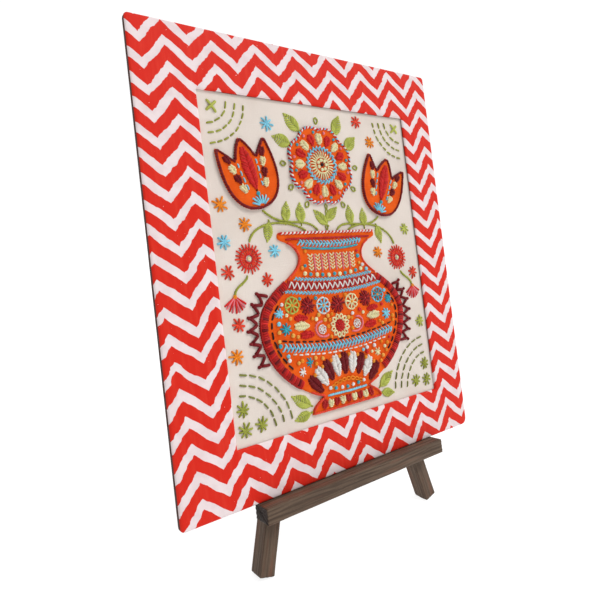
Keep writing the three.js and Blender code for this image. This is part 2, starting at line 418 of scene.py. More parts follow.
def dye(red, green, blue):
    """A colour as the shader takes it, from the values that a screen shows, 0 to 255."""
    shown = [value / 255 for value in (red, green, blue)]
    light = [v / 12.92 if v <= 0.04045 else ((v + 0.055) / 1.055) ** 2.4 for v in shown]
    return (*light, 1.0)


# The print: zigzag rows, on a flat cloth measured in tenths of a metre from the picture's lower left
# corner. The hand-cut block was laid down a little askew each time, so columns and rows drift slowly:
# each is a start, so many repeats across and up, and three slow bends (across by up, across, up).
ZIGZAG_COLUMNS = (-0.5, 3.354, 0.319, -0.0113, 0.0209, -0.006)
ZIGZAG_ROWS = (-0.2136, -0.5655, 6.6178, -0.013, -0.1045, 0.0094)
ZIGZAG_HEIGHT = 0.947
ZIGZAG_FALL = 0.52
ZIGZAG_WHITE = 0.425
ROW_PITCH = 15
EDGE_SOFTNESS = 0.01
JOINT_UP = 82.5
JOINT_REACH = 5.0
JOINT_CLOSES = 0.19
JOINT_PAST_BAND = (4.5, 0.5)
PRINT_RED = dye(222, 40, 24)
PRINT_RED_THIN = dye(228, 58, 40)
PRINT_WHITE = dye(244, 228, 229)
PRINT_WHITE_SHADE = dye(235, 216, 217)
# The dark brown paint on the board's side, used again as painted shade in the slit along the window.
SIDE_PAINT_AND_SLIT_SHADE = dye(70, 40, 34)
SIDE_DARK_FROM = (0.0, 0.4)
SIDE_DARK_TO = (4.3, 3.9)
# How strongly the painted shade darkens the slit between the linen and the window's upper and right edges.
SLIT_SHADE = 0.7
SLIT_DARK_FROM = (-0.1, -0.35)
SLIT_SLANT = (1.2, 1.25)
COVER_WEAVE = 0.42

# How the printed edges wander: the size of a bend in mm, its detail, and how far it strays in mm.
COLUMN_WANDER = (14, 1, 1.6)
ROW_WANDER = (19, 1, 3.0)
WIDTH_WANDER = (24, 1, 2.2)
LONG_BURRS = (4.6, 1, 3.4)
SHORT_BURRS = (1.7, 1, 1.1)


def weave_height(finish, flat, pitch):
    """Over and under of a plain weave whose threads lie this many millimetres apart."""
    x, y, _ = finish.parts(flat)
    turn = 2 * math.pi / pitch
    warp = finish.reckon("SINE", finish.times(x, turn))
    weft = finish.reckon("SINE", finish.times(y, turn))
    return finish.times_plus(finish.times(warp, weft), 0.5, 0.5)


def printed_cotton():
    """White cotton with an opaque red print. The falling limbs of the zigzags are crisp, the rising ones
    a little ragged, and where two pulls of the block meet on the left band the red closes up."""
    cotton = Finish("printed_cotton", Specular_IOR_Level=0.14)
    flat = cotton.marked("flat_mm")
    x, y, _ = cotton.parts(cotton.reckon_places("MULTIPLY", flat, (0.01, 0.01, 0)))
    across_mm, up_mm, _ = cotton.parts(flat)
    twisted = cotton.times(x, y)
    across_squared = cotton.times(x, x)
    up_squared = cotton.times(y, y)

    def drift(value, *shares):
        for part, share in zip((x, y, twisted, across_squared, up_squared), shares):
            value = cotton.times_plus(part, share, value)
        return value

    def wander(size, detail, reach):
        """A random value about 0, so many millimetres strong, as a share of a row."""
        soft = cotton.less(cotton.noise(flat, size, detail), 0.5)
        return cotton.times(soft, reach / ROW_PITCH)

    def off_middle(value, middle):
        return cotton.reckon("ABSOLUTE", cotton.less(value, middle))

    def beyond(left, right, low, high):
        """How far a place lies outside a rectangle, or within it when it is negative."""
        middle = ((left + right) / 2, (low + high) / 2, 0)
        half = ((right - left) / 2, (high - low) / 2, 0)
        away = cotton.reckon_places("ABSOLUTE", cotton.reckon_places("SUBTRACT", flat, middle))
        past_side, past_end, _ = cotton.parts(cotton.reckon_places("SUBTRACT", away, half))
        return cotton.reckon("MAXIMUM", past_side, past_end)

    # The zigzag rows, and how far each place lies from the middle of the nearest white row.
    phase = cotton.reckon("FRACT", cotton.plus(drift(*ZIGZAG_COLUMNS), wander(*COLUMN_WANDER)))
    falling = cotton.times_plus(phase, -1 / ZIGZAG_FALL, 1.0)
    rising = cotton.reckon("DIVIDE", cotton.less(phase, ZIGZAG_FALL), 1 - ZIGZAG_FALL)
    zigzag = cotton.reckon("MAXIMUM", falling, rising)
    ragged = cotton.between(rising, -0.05, 0.1, 0.35, 1.0)
    burrs = cotton.plus(wander(*LONG_BURRS), wander(*SHORT_BURRS))
    row = cotton.times_plus(zigzag, -ZIGZAG_HEIGHT, drift(*ZIGZAG_ROWS))
    row = cotton.plus(row, wander(*ROW_WANDER))
    row = cotton.times_plus(burrs, ragged, row)
    from_middle = off_middle(cotton.reckon("FRACT", row), 0.5)

    # The red lies where that is more than half the white's width, and closes up at the joint.
    on_joint = cotton.times(
        cotton.between(off_middle(up_mm, JOINT_UP), JOINT_REACH, 0),
        cotton.between(across_mm, *(BAND_LEFT + past for past in JOINT_PAST_BAND)),
    )
    white = cotton.times_plus(on_joint, -JOINT_CLOSES, wander(*WIDTH_WANDER))
    white = cotton.plus(white, ZIGZAG_WHITE)
    past_white = cotton.times_plus(white, -0.5, from_middle)
    misses = cotton.between(cotton.noise(flat, size=1.5, detail=3), 0.235, 0.27)
    inked = cotton.times(cotton.between(past_white, -EDGE_SOFTNESS, EDGE_SOFTNESS), misses)
    wiped = cotton.between(cotton.noise(flat, size=3.1, detail=3, squeeze=(1, 0.12, 1)), 0.42, 0.75, 0, 0.6)
    blotch = cotton.between(cotton.noise(flat, size=9, detail=4), 0.36, 0.68)
    ground = cotton.blend(blotch, PRINT_WHITE, PRINT_WHITE_SHADE)
    printed = cotton.blend(inked, ground, cotton.blend(wiped, PRINT_RED, PRINT_RED_THIN))
    film = cotton.raise_by(inked, 0.06)

    # The board's side is painted dark brown, and the slit between the linen and the window's upper and right
    # edges is darkened with the same brown as painted shade.
    outside = beyond(0, FRAME_WIDTH, 0, FRAME_HEIGHT)
    on_side = cotton.times(cotton.between(outside, *SIDE_DARK_FROM), cotton.between(outside, *SIDE_DARK_TO))
    window_right_mm, window_top_mm = FRAME_WIDTH - BAND_RIGHT, FRAME_HEIGHT - BAND_TOP
    past_window = beyond(BAND_LEFT, window_right_mm, BAND_BOTTOM, window_top_mm)
    upper_right = cotton.times_plus(across_mm, window_top_mm / window_right_mm, up_mm)
    # Painted shade on the lip's inner side, along the window's upper and right edges only.
    in_slit = cotton.times(
        cotton.between(past_window, *SLIT_DARK_FROM),
        cotton.between(upper_right, *(window_top_mm * share for share in SLIT_SLANT)),
    )
    dark = cotton.reckon("MAXIMUM", on_side, cotton.times(in_slit, SLIT_SHADE))
    return cotton.use(
        Base_Color=cotton.blend(dark, printed, SIDE_PAINT_AND_SLIT_SHADE),
        Roughness=cotton.between(inked, 0, 1, 0.78, 0.6),
        Normal=cotton.raise_by(weave_height(cotton, flat, COVER_WEAVE), 0.03, film),
    )


outside, inside = cover_layer(COVER_OUTSIDE), cover_layer(COVER_INSIDE)
cover_rings = outside + inside[::-1]
stations = len(outer)
cover_points = np.array([on_picture(ring[:, 0], ring[:, 1], out) for ring, out, _ in cover_rings])
cover_flat = np.array([
    np.stack([flat[:, 0] + half_width, flat[:, 1], 0 * flat[:, 0]], -1) for _, _, flat in cover_rings
])
cover = make_piece(
    "printed_cover", cover_points,
    grid_faces(len(cover_rings), stations, closed_rows=True, closed_columns=True),
    [printed_cotton()],
)
mark_points(cover, "flat_mm", cover_flat.reshape(-1, 3))


# The board that the cover is glued to, and the plain card that closes its back. Both are brown
# pressed card, cut square, and they show only from behind.
CARD_BROWN = dye(150, 122, 90)
CARD_DARK = dye(122, 96, 68)
CARD_LIGHT = dye(176, 150, 116)
BACKING_BROWN = dye(166, 140, 108)


def pressed_card(name, base):
    """Brown card with short pale and dark fibres pressed into it, in no one direction."""
    card = Finish(name, Roughness=0.86, Specular_IOR_Level=0.2)
    place = card.put("TexCoord").outputs["Object"]
    cloudy = card.noise(place, size=0.05, detail=2)
    fibres = card.noise(place, size=0.0016, detail=6, squeeze=(1, 1, 3.2))
    colour = card.blend(card.between(cloudy, 0.3, 0.7, 0, 0.35), base, CARD_DARK)
    colour = card.blend(card.between(fibres, 0.55, 0.72), colour, CARD_LIGHT)
    return card.use(Base_Color=colour, Normal=card.raise_by(fibres, 0.12))


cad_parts["frame"].data.materials[0] = pressed_card("frame_board_card", CARD_BROWN)
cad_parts["backing_board"].data.materials[0] = pressed_card("backing_card", BACKING_BROWN)


# The linen ground: one piece of plain natural linen in fine even weave, stretched flat behind the
# window and held at its edges under the board's lip. It rises and falls a little between the stitches.
LINEN_RISE = 0.16
LINEN_EASE = 6
LINEN_BACK_INSET = 0.05
LINEN_COLUMNS = 92
LINEN_ROWS = 112
LINEN_COLOUR = dye(235, 223, 213)
LINEN_SHADE = dye(226, 213, 202)
LINEN_SLUB = dye(243, 235, 227)
LINEN_WEAVE = 0.5
middle_across = (window_left + window_right) / 2
middle_up = (window_bottom + window_top) / 2


def linen_rise(u, v):
    """Height of the linen's face over its flat place, in mm, at u right and v up from the middle."""
    return LINEN_RISE * pucker(1.3 * u + 40, 1.2 * v)


def plain_linen():
    """Fine plain weave with thicker slubs here and there along both threads."""
    linen = Finish("plain_linen", Roughness=0.9, Specular_IOR_Level=0.22, Sheen_Weight=0.12)
    flat = linen.marked("flat_mm")
    weft_slubs = linen.noise(flat, size=0.7, detail=3, squeeze=(0.05, 1, 1))
    warp_slubs = linen.noise(flat, size=0.7, detail=3, squeeze=(1, 0.05, 1))
    slubs = linen.reckon("MAXIMUM", weft_slubs, warp_slubs)
    cloudy = linen.noise(flat, size=45, detail=3)
    colour = linen.blend(linen.between(cloudy, 0.35, 0.7), LINEN_COLOUR, LINEN_SHADE)
    colour = linen.blend(linen.between(slubs, 0.6, 0.85, 0, 0.6), colour, LINEN_SLUB)
    relief = linen.raise_by(weave_height(linen, flat, LINEN_WEAVE), 0.05)
    relief = linen.raise_by(slubs, 0.12, relief)
    return linen.use(Base_Color=colour, Normal=relief)


def border_of(rows, columns):
    """The points round the border of a grid, in their order."""
    return (
        list(range(columns - 1))
        + [row * columns + columns - 1 for row in range(rows - 1)]
        + [(rows - 1) * columns + column for column in range(columns - 1, 0, -1)]
        + [row * columns for row in range(rows - 1, 0, -1)]
    )


def flat_piece(name, node, u, v, front_out, back_out, faces, edge, finish):
    """A piece of cloth in place of its solid: a front, a back, and a narrow edge between the two.
    Its places lie u to the right of the window's middle and v above it."""
    front = on_picture(middle_across + u, middle_up + v, front_out).reshape(-1, 3)
    back = on_picture(middle_across + u, middle_up + v, back_out).reshape(-1, 3)
    count = len(front)
    all_faces = faces + [tuple(count + i for i in face[::-1]) for face in faces]
    all_faces += [
        (count + here, count + after, after, here) for here, after in zip(edge, edge[1:] + edge[:1])
    ]
    made = make_piece(name, np.concatenate([front, back]), all_faces, [finish])
    flat = np.stack([u, v, 0 * u], -1).reshape(-1, 3)
    mark_points(made, "flat_mm", np.concatenate([flat, flat]))
    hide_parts(node)
    return made


linen_half = np.array([
    (window_right - window_left) / 2 + LINEN_MARGIN, (window_top - window_bottom) / 2 + LINEN_MARGIN,
])
u_line = np.linspace(-linen_half[0], linen_half[0], LINEN_COLUMNS)
v_line = np.linspace(-linen_half[1], linen_half[1], LINEN_ROWS)
linen_u, linen_v = np.meshgrid(u_line, v_line)
from_lip = np.minimum(linen_half[0] - abs(linen_u), linen_half[1] - abs(linen_v)) - LINEN_MARGIN
linen_out = linen_rise(linen_u, linen_v) * np.clip(from_lip, 0, LINEN_EASE) / LINEN_EASE - LINEN_FRONT
linen = flat_piece(
    "linen_ground", "linen", linen_u, linen_v, linen_out, LINEN_BACK_INSET - LINEN_BACK,
    grid_faces(LINEN_ROWS, LINEN_COLUMNS), border_of(LINEN_ROWS, LINEN_COLUMNS), plain_linen(),
)


# The vase patch: orange cotton cut to a round-bellied vase, its edges turned under and sewn down on
# the linen, so it stands a little proud and its edge is soft. It is drawn in with shallow creases.
PATCH_RISE = 1.3
PATCH_EDGE_ROUND = 0.9
PATCH_CREASE = 0.1
PATCH_EDGE_HEIGHT = 0.12
PATCH_BACK_HEIGHT = 0.1
ORANGE = dye(242, 98, 24)
ORANGE_DEEP = dye(226, 82, 16)
ORANGE_LIGHT = dye(250, 122, 44)
PATCH_WEAVE = 0.45
VASE_FOOT = (30, -98)
VASE_CURVES = (
    ((30, -94), (26, -91), (19, -88)),
    ((34, -84), (60, -68), (61, -41)),
    ((62, -17), (30, -12), (27, 1)),
    ((26, 7), (32, 12), (40, 14)),
    ((42, 15), (42, 18), (40, 19)),
)
VASE_TOP = 19


def curve_through(start, curves, steps=24):
    """Points on bends joined end to end, each given by its two handles and its end."""
    points = [np.array(start, float)]
    for handles in curves:
        first = points[-1]
        bend, ease, end = (np.array(p, float) for p in handles)
        for t in np.linspace(0, 1, steps + 1)[1:]:
            points.append(
                first * (1 - t) ** 3 + 3 * bend * t * (1 - t) ** 2 + 3 * ease * t * t * (1 - t) + end * t ** 3
            )
    return np.array(points)


vase_side = curve_through(VASE_FOOT, VASE_CURVES)


def vase_half_width(v):
    return np.interp(v, vase_side[:, 1], vase_side[:, 0])


def rounded_edge(inward):
    """Height of a turned edge, from 0 to 1, at a distance inward from it in mm."""
    return np.sqrt(1 - (1 - np.clip(inward / PATCH_EDGE_ROUND, 0, 1)) ** 2)


def vase_height(u, v):
    """Height of the vase patch over the linen, in mm, or 0 beside it."""
    slope = (vase_half_width(v + 0.3) - vase_half_width(v - 0.3)) / 0.6
    sideways = (vase_half_width(v) - abs(u)) / np.sqrt(1 + slope ** 2)
    inward = np.minimum(np.minimum(sideways, VASE_TOP - v), v - VASE_FOOT[1])
    rise = PATCH_RISE + PATCH_CREASE * pucker(2.1 * u, 2.3 * v)
    return np.where(inward > 0, rise * rounded_edge(inward), 0)


def orange_cotton():
    """Plain orange cotton in fine weave, mottled where the dye took unevenly."""
    cotton = Finish("orange_cotton", Roughness=0.86, Specular_IOR_Level=0.12, Sheen_Weight=0.02)
    flat = cotton.marked("flat_mm")
    cloudy = cotton.noise(flat, size=13, detail=4)
    threads = cotton.noise(flat, size=0.6, detail=2, squeeze=(0.12, 1, 1))
    colour = cotton.blend(cotton.between(cloudy, 0.3, 0.7), ORANGE_DEEP, ORANGE)
    colour = cotton.blend(cotton.between(threads, 0.5, 0.8, 0, 0.5), colour, ORANGE_LIGHT)
    creases = cotton.noise(flat, size=7, detail=2, squeeze=(1, 0.5, 1))
    relief = cotton.raise_by(creases, 0.5)
    relief = cotton.raise_by(weave_height(cotton, flat, PATCH_WEAVE), 0.045, relief)
    return cotton.use(Base_Color=colour, Normal=relief)


orange_finish = orange_cotton()


# Near an edge the rows and columns lie close together, so that the turned edge is round.
edge_steps = np.array([0, 0.05, 0.16, 0.34, 0.6, 0.95])
vase_rows = np.concatenate([
    VASE_FOOT[1] + edge_steps, np.linspace(VASE_FOOT[1] + 2, VASE_TOP - 2, 104), VASE_TOP - edge_steps[::-1],
])
vase_columns = np.linspace(-1, 1, 61)
half = vase_half_width(vase_rows)[:, None]
slant = np.sqrt(1 + np.gradient(vase_half_width(vase_rows), vase_rows) ** 2)[:, None]
near_edge = np.minimum(edge_steps[None] * slant, half)
inner = (half - 1.5 * slant) * vase_columns[None]
vase_u = np.concatenate([-half + near_edge, inner, (half - near_edge)[:, ::-1]], 1)
vase_v = np.repeat(vase_rows[:, None], vase_u.shape[1], 1)


def patch_piece(name, node, u, v, faces, edge):
    """A sewn-down patch that stands on the linen, and whose turned edge keeps a little height."""
    height = np.maximum(patch_height(u, v), PATCH_EDGE_HEIGHT)
    made = flat_piece(
        name, node, u, v, height - LINEN_FRONT, PATCH_BACK_HEIGHT - LINEN_FRONT, faces, edge,
        orange_finish,
    )


# The rose and tulip patches: the same orange cotton cut to a scalloped round and two tulip heads.
ROSE = (1, 64)
ROSE_RADIUS = 27
ROSE_SCALLOP = 2.5
ROSE_LOBES = 8
TULIP_HEART = (0, -10)
TULIP_FOOT = (0, -21)
TULIP_CURVES = (
    ((15, -21), (24, -8), (18, 21)),
    ((13, 16), (10, 13), (8, 10)),
    ((6, 15), (4, 20), (0, 24)),
)
TULIPS = {"left": (-55, 55, 16), "right": (56, 50, -20)}
tulip_side = curve_through(TULIP_FOOT, TULIP_CURVES)
tulip_ring = np.concatenate([tulip_side, tulip_side[-2:0:-1] * (-1, 1)]) - TULIP_HEART


def turn_by(points, degrees):
    """Points turned anticlockwise about the origin, as the viewer sees them."""
    cos, sin = math.cos(math.radians(degrees)), math.sin(math.radians(degrees))
    return np.asarray(points) @ np.array([[cos, sin], [-sin, cos]])


def rose_reach(angle):
    return ROSE_RADIUS - ROSE_SCALLOP * (1 - abs(np.sin(ROSE_LOBES * angle / 2)))


def tulip_reach(angle):
    """How far the tulip reaches from its heart in each direction."""
    around = np.arctan2(tulip_ring[:, 1], tulip_ring[:, 0])
    order = np.argsort(around)
    return np.interp(angle, around[order], np.hypot(*tulip_ring[order].T), period=2 * math.pi)


def head_height(u, v, heart, turn, reach):
    """Height of a flower-head patch, in mm, from how far each place lies inside its reach."""
    away = np.stack([u - heart[0], v - heart[1]], -1)
    local = turn_by(away, -turn)
    angle = np.arctan2(local[..., 1], local[..., 0])
    inward = reach(angle) - np.hypot(away[..., 0], away[..., 1])
    rise = PATCH_RISE + PATCH_CREASE * pucker(2.6 * u + 30, 2.4 * v)
    return np.where(inward > 0, rise * rounded_edge(0.85 * inward), 0)


def tulip_heart(side):
    u, v, turn = TULIPS[side]
    return np.array([u, v]) + turn_by(TULIP_HEART, turn)


HEADS = [("rose", np.array(ROSE), 0, rose_reach)]
HEADS += [(f"tulip_{side}", tulip_heart(side), TULIPS[side][2], tulip_reach) for side in TULIPS]


def patch_height(u, v):
    """Height of the topmost patch over the linen, in mm."""
    height = vase_height(u, v)
    for _, heart, turn, reach in HEADS:
        height = np.maximum(height, head_height(u, v, heart, turn, reach))
    return height


patch_piece(
    "vase_cloth", "vase_patch", vase_u, vase_v, grid_faces(*vase_u.shape), border_of(*vase_u.shape),
)

HEAD_SPOKES = 144
for name, heart, turn, reach in HEADS:
    angle = np.linspace(0, 2 * math.pi, HEAD_SPOKES, endpoint=False)
    rim = reach(angle)[None]
    inset = rim - edge_steps[:, None]
    inner = (rim - 1.4) * np.linspace(1, 0.04, 16)[:, None]
    away = np.concatenate([inset, inner])
    local = np.stack([away * np.cos(angle), away * np.sin(angle)], -1)
    placed = turn_by(local, turn) + heart
    rings = len(away)
    faces = grid_faces(rings, HEAD_SPOKES, closed_columns=True)
    faces.append(tuple((rings - 1) * HEAD_SPOKES + k for k in range(HEAD_SPOKES)))
    faces = [face[::-1] for face in faces[:-1]] + [faces[-1]]
    edge = list(range(HEAD_SPOKES))
    node = "rose_patch" if name == "rose" else f"tulip_patch_{name.split('_')[1]}"
    area = 0.5 * np.sum(reach(angle) ** 2) * (angle[1] - angle[0])
    patch_piece(f"{name}_cloth", node, placed[..., 0], placed[..., 1], faces, edge)


# The vase's edge: a broad band of close dark red blanket stitches in stranded cotton floss sews its
# cloth down, with a near-black running line inside it and a burgundy zigzag outside it on the linen.
# Each stitch is a flat bundle of strands that comes up through the cloth and goes down again.
VASE_BAND = 5.0
BELLY_FROM = -80
BELLY_TO = -12
BAND_COLOURS = ("dark_red", "red", "dark_red", "dark_red", "burgundy")

# The floss, and the kinds of stitch that the later motifs share. Lengths are in mm.
THREAD_SIDES = 6
THREAD_WIDTH = 1.3
THREAD_FLATNESS = 0.82
THREAD_END_NARROW = 0.7
THREAD_LIES = 0.34
THREAD_SINKS = 0.5
HAND_SLIP = 0.14
DYE_LENGTH = 20
THREAD_SHADES = (0.35, 0.85)
KNOT_SHADES = (0.75, 1.1)
DYES = {
    "orange": dye(255, 146, 26),
    "apricot": dye(255, 176, 76),
    "red_orange": dye(240, 72, 44),
    "red": dye(222, 36, 32),
    "dark_red": dye(192, 32, 30),
    "burgundy": dye(124, 12, 22),
    "near_black": dye(46, 22, 24),
    "cream": dye(255, 242, 188),
    "white": dye(253, 247, 240),
    "light_blue": dye(138, 218, 244),
    "turquoise": dye(56, 170, 190),
    "lime": dye(196, 204, 94),
    "olive": dye(166, 172, 68),
    "dark_green": dye(138, 144, 70),
    "pink": dye(250, 132, 142),
}
hand = np.random.default_rng(11)
floss_finishes = {}
stitched = []


def floss(colour):
    """Soft-lustred stranded cotton: fine strands along the stitch with a slight twist, unevenly dyed.
    Painted shade darkens the grooves between the strands and the thread's lower flanks.
    """
    if colour in floss_finishes:
        return floss_finishes[colour]
    thread = Finish(f"floss_{colour}", Roughness=0.6, Specular_IOR_Level=0.2, Sheen_Weight=0.03)
    strand = thread.put("UVMap", uv_map="strand").outputs[0]
    along, around, _ = thread.parts(strand)
    twist = thread.times_plus(around, 12 * math.pi, thread.times(along, 1.5))
    ridge = thread.times_plus(thread.reckon("SINE", twist), 0.5, 0.5)
    uneven = thread.noise(thread.place(thread.times(along, 0.3), around), size=0.5, detail=2)
    shade = thread.times_plus(uneven, 0.3, thread.marked("shade", "Fac"))
    red, green, blue, _ = DYES[colour]
    # The deep colour is the dye's darker random shade, and also the colour of the painted shade below.
    deep = (red * 0.5, green * 0.47, blue * 0.47, 1.0)
    pale = (min(1, red * 1.15 + 0.02), min(1, green * 1.15 + 0.02), min(1, blue * 1.15 + 0.02), 1.0)
    colour_now = thread.blend(thread.between(shade, 0.1, 0.8), deep, DYES[colour])
    colour_now = thread.blend(thread.between(shade, 0.75, 1.15), colour_now, pale)
    # Painted shade: the grooves between the twisted strands are darkened towards the deep colour.
    colour_now = thread.blend(thread.between(ridge, 0.35, 0, 0, 0.35), colour_now, deep)
    # Painted shade: the thread's lower flanks, read from low_side, are darkened towards the deep colour.
    low_side = thread.between(thread.marked("low_side", "Fac"), 0.15, 0.85, 0, 0.75)
    colour_now = thread.blend(low_side, colour_now, deep)
    floss_finishes[colour] = thread.use(Base_Color=colour_now, Normal=thread.raise_by(ridge, 0.1))
    return floss_finishes[colour]


def cloth_height(u, v):
    """Height of the topmost cloth over the linen's flat place, in mm."""
    return np.maximum(linen_rise(u, v), patch_height(u, v))


def walk(path, at):
    """Places on a path and its direction there, at distances along it."""
    path = np.asarray(path, float)
    reach = np.concatenate([[0], np.cumsum(np.hypot(*np.diff(path, axis=0).T))])

    def spot(distance):
        return np.stack([np.interp(distance, reach, path[:, k]) for k in (0, 1)], -1)

    at = np.asarray(at, float)
    way = spot(at + 0.15) - spot(at - 0.15)
    return spot(at), way / np.maximum(np.linalg.norm(way, axis=-1, keepdims=True), 1e-9)


def run_of(path):
    """Length of a path."""
    return np.hypot(*np.diff(np.asarray(path, float), axis=0).T).sum()


def left_of(way):
    return np.stack([-way[..., 1], way[..., 0]], -1)


def curve(*points, steps=30):
    """A path through four points used as a bend: start, two handles, end."""
    return curve_through(points[0], [points[1:]], steps)


def circle(centre, radius, start=0, end=360, steps=72):
    angle = np.radians(np.linspace(start, end, steps + 1))
    return np.stack([centre[0] + radius * np.cos(angle), centre[1] + radius * np.sin(angle)], -1)


def flip(points, side):
    """The same points on the left, side -1, or the right, side 1."""
    return np.asarray(points, float) * (side, 1)


def bare(u, v, room):
    """Whether no stitch laid so far comes nearer to this place than so much room, in mm."""
    laid = np.concatenate(stitched)
    return np.hypot(laid[:, 0] - u, laid[:, 1] - v).min() > room


class Needlework:
    """Stitches gathered on one piece of the design, made into one mesh when it is sewn."""

    def __init__(self):
        self.points = []
        self.faces = []
        self.strands = []
        self.shades = []
        self.low_sides = []
        self.colours = []
        self.face_colours = []
        self.count = 0

    def lay(self, colour, flat, height, width=THREAD_WIDTH, shade=None):
        """A thread along flat places at these heights over the linen's flat place."""
        stitched.append(flat)
        path = np.column_stack([flat, height])
        along = np.gradient(path, axis=0)
        along /= np.linalg.norm(along, axis=1, keepdims=True) + 1e-9
        across = np.column_stack([along[:, 1], -along[:, 0], np.zeros(len(path))])
        across /= np.linalg.norm(across, axis=1, keepdims=True) + 1e-9
        up = np.cross(across, along)
        turn = 2 * math.pi * np.arange(THREAD_SIDES) / THREAD_SIDES
        half = np.full(len(path), width / 2)
        half[[0, -1]] *= THREAD_END_NARROW
        rings = (
            path[:, None]
            + across[:, None] * (half[:, None] * np.cos(turn))[..., None]
            + up[:, None] * (THREAD_FLATNESS * half[:, None] * np.sin(turn))[..., None]
        )
        if colour not in self.colours:
            self.colours.append(colour)
        distance = np.concatenate([[0], np.cumsum(np.linalg.norm(np.diff(path, axis=0), axis=1))])
        distance += hand.uniform(0, DYE_LENGTH)
        spin = hand.uniform(0, 1)
        last = len(path) - 1
        for ring in range(last):
            near, far = distance[ring], distance[ring + 1]
            here = self.count + ring * THREAD_SIDES
            there = here + THREAD_SIDES
            for side in range(THREAD_SIDES):
                after = (side + 1) % THREAD_SIDES
                self.faces.append((here + side, there + side, there + after, here + after))
                low, high = spin + side / THREAD_SIDES, spin + (side + 1) / THREAD_SIDES
                self.strands += [near, low, far, low, far, high, near, high]
        for ring, order in (
            (0, (0, 1, 2, 3)), (0, (0, 3, 4, 5)), (last, (3, 2, 1, 0)), (last, (5, 4, 3, 0)),
        ):
            self.faces.append(tuple(self.count + ring * THREAD_SIDES + k for k in order))
            self.strands += [distance[ring], spin] * 4
        self.face_colours += [self.colours.index(colour)] * (last * THREAD_SIDES + 4)
        self.points.append(rings.reshape(-1, 3))
        shade = hand.uniform(*THREAD_SHADES) if shade is None else shade
        self.shades.append(np.full(len(path) * THREAD_SIDES, shade))
        # For the painted shade: how low each point lies round the thread, 0 on top and 1 underneath.
        self.low_sides.append(np.tile(0.5 - 0.5 * np.sin(turn), len(path)))
        self.count += len(path) * THREAD_SIDES

    def thread(self, colour, flat, width=THREAD_WIDTH, rise=0.0, lift=0.0):
        """A stitch along flat places: up through the cloth, over it, and down. It may rise at its
        middle over padding, or lie lifted on other threads."""
        flat = np.asarray(flat, float)
        distance = np.concatenate([[0], np.cumsum(np.hypot(*np.diff(flat, axis=0).T))])
        length = distance[-1]
        knee = min(0.8 * width, 0.34 * length)
        from_end = np.minimum(distance, length - distance)
        lying = np.clip(from_end / knee, 0, 1)
        height = width * (THREAD_LIES * np.sin(lying * math.pi / 2) - THREAD_SINKS * (1 - lying) ** 2)
        height += (rise * np.sin(math.pi * distance / length) + lift) * lying
        ground = cloth_height(flat[:, 0], flat[:, 1])
        bridge = ground[0] + (ground[-1] - ground[0]) * distance / length
        self.lay(colour, flat, height + np.maximum(ground, bridge), width)

    def straight(self, colour, start, end, width=THREAD_WIDTH, rise=0.0, lift=0.0, slip=HAND_SLIP):
        """One straight stitch."""
        start = np.asarray(start, float) + hand.normal(0, slip, 2)
        end = np.asarray(end, float) + hand.normal(0, slip, 2)
        length = max(math.hypot(*(end - start)), 0.3)
        dip = min(0.3 * width, 0.12 * length)
        knee = min(0.85 * width, 0.32 * length)
        at = np.array([0, dip, knee, length / 2, length - knee, length - dip, length]) / length
        self.thread(colour, start + (end - start) * at[:, None], width * hand.normal(1, 0.05), rise, lift)

    def running(self, colour, path, stitch=2.5, gap=1.4, width=THREAD_WIDTH):
        """Running stitch: short stitches with even gaps."""
        length = run_of(path)
        count = max(1, round((length + gap) / (stitch + gap)))
        pitch = (length + gap) / count
        starts = np.arange(count) * pitch
        first, _ = walk(path, starts)
        last, _ = walk(path, starts + pitch - gap)
        for start, end in zip(first, last):
            self.straight(colour, start, end, width)

    def stem(self, colour, path, width=THREAD_WIDTH, stitch=3.4, lift=0.0):
        """Stem stitch: slanted stitches that overlap by half, like a laid rope."""
        length = run_of(path)
        count = max(2, round(length / (stitch / 2)))
        starts = np.linspace(-0.2, length - stitch / 2, count)
        first, first_way = walk(path, np.clip(starts, 0, length))
        last, last_way = walk(path, np.clip(starts + stitch, 0, length))
        slant = 0.2 * width
        for start, end, way, end_way in zip(first, last, first_way, last_way):
            start = start - left_of(way) * slant
            self.straight(colour, start, end + left_of(end_way) * slant, width, slip=0.05, lift=lift)

    def rope(self, colours, path, width=THREAD_WIDTH, pitch=1.5):
        """Whipped rope: slanted stitches along a path, in its colours one after another, lying lifted like a
        rope.
        """
        spots, ways = walk(path, np.arange(0.5, run_of(path), pitch))
        for k, (spot, way) in enumerate(zip(spots, ways)):
            reach = (1.15 * way + 0.42 * left_of(way)) * width
            self.straight(
                colours[k % len(colours)], spot - reach, spot + reach, width, rise=0.25, lift=0.12, slip=0.05,
            )

    def chain(self, colour, path, link=3.6, width=0.95):
        """Chain stitch: a line of loops, each starting inside the last."""
        length = run_of(path)
        count = max(1, round(length / link))
        places = np.linspace(0, length, count + 1)
        spots, ways = walk(path, np.clip(places, 0.1, length - 0.1))
        for start, end, way in zip(spots[:-1], spots[1:], ways[:-1]):
            self.loop(colour, start, end, 0.3 * link, width)

    def loop(self, colour, start, end, half_width, width=0.95):
        """One loop that leaves its start, swells and is held down at its end by a tiny stitch."""
        start, end = np.asarray(start, float), np.asarray(end, float)
        reach = end - start
        left = left_of(reach) / max(math.hypot(*reach), 1e-9)
        angle = np.linspace(-math.pi, math.pi, 13)
        share = (1 + np.cos(angle)) / 2
        bulge = half_width * np.sin(angle) * np.sqrt(np.clip(share, 0, 1))
        flat = start + share[:, None] * reach + bulge[:, None] * left * 1.25
        self.thread(colour, flat + hand.normal(0, 0.04, flat.shape), width)
        self.straight(colour, end - reach * 0.06, end + reach * 0.16, width, lift=0.15, slip=0.03)

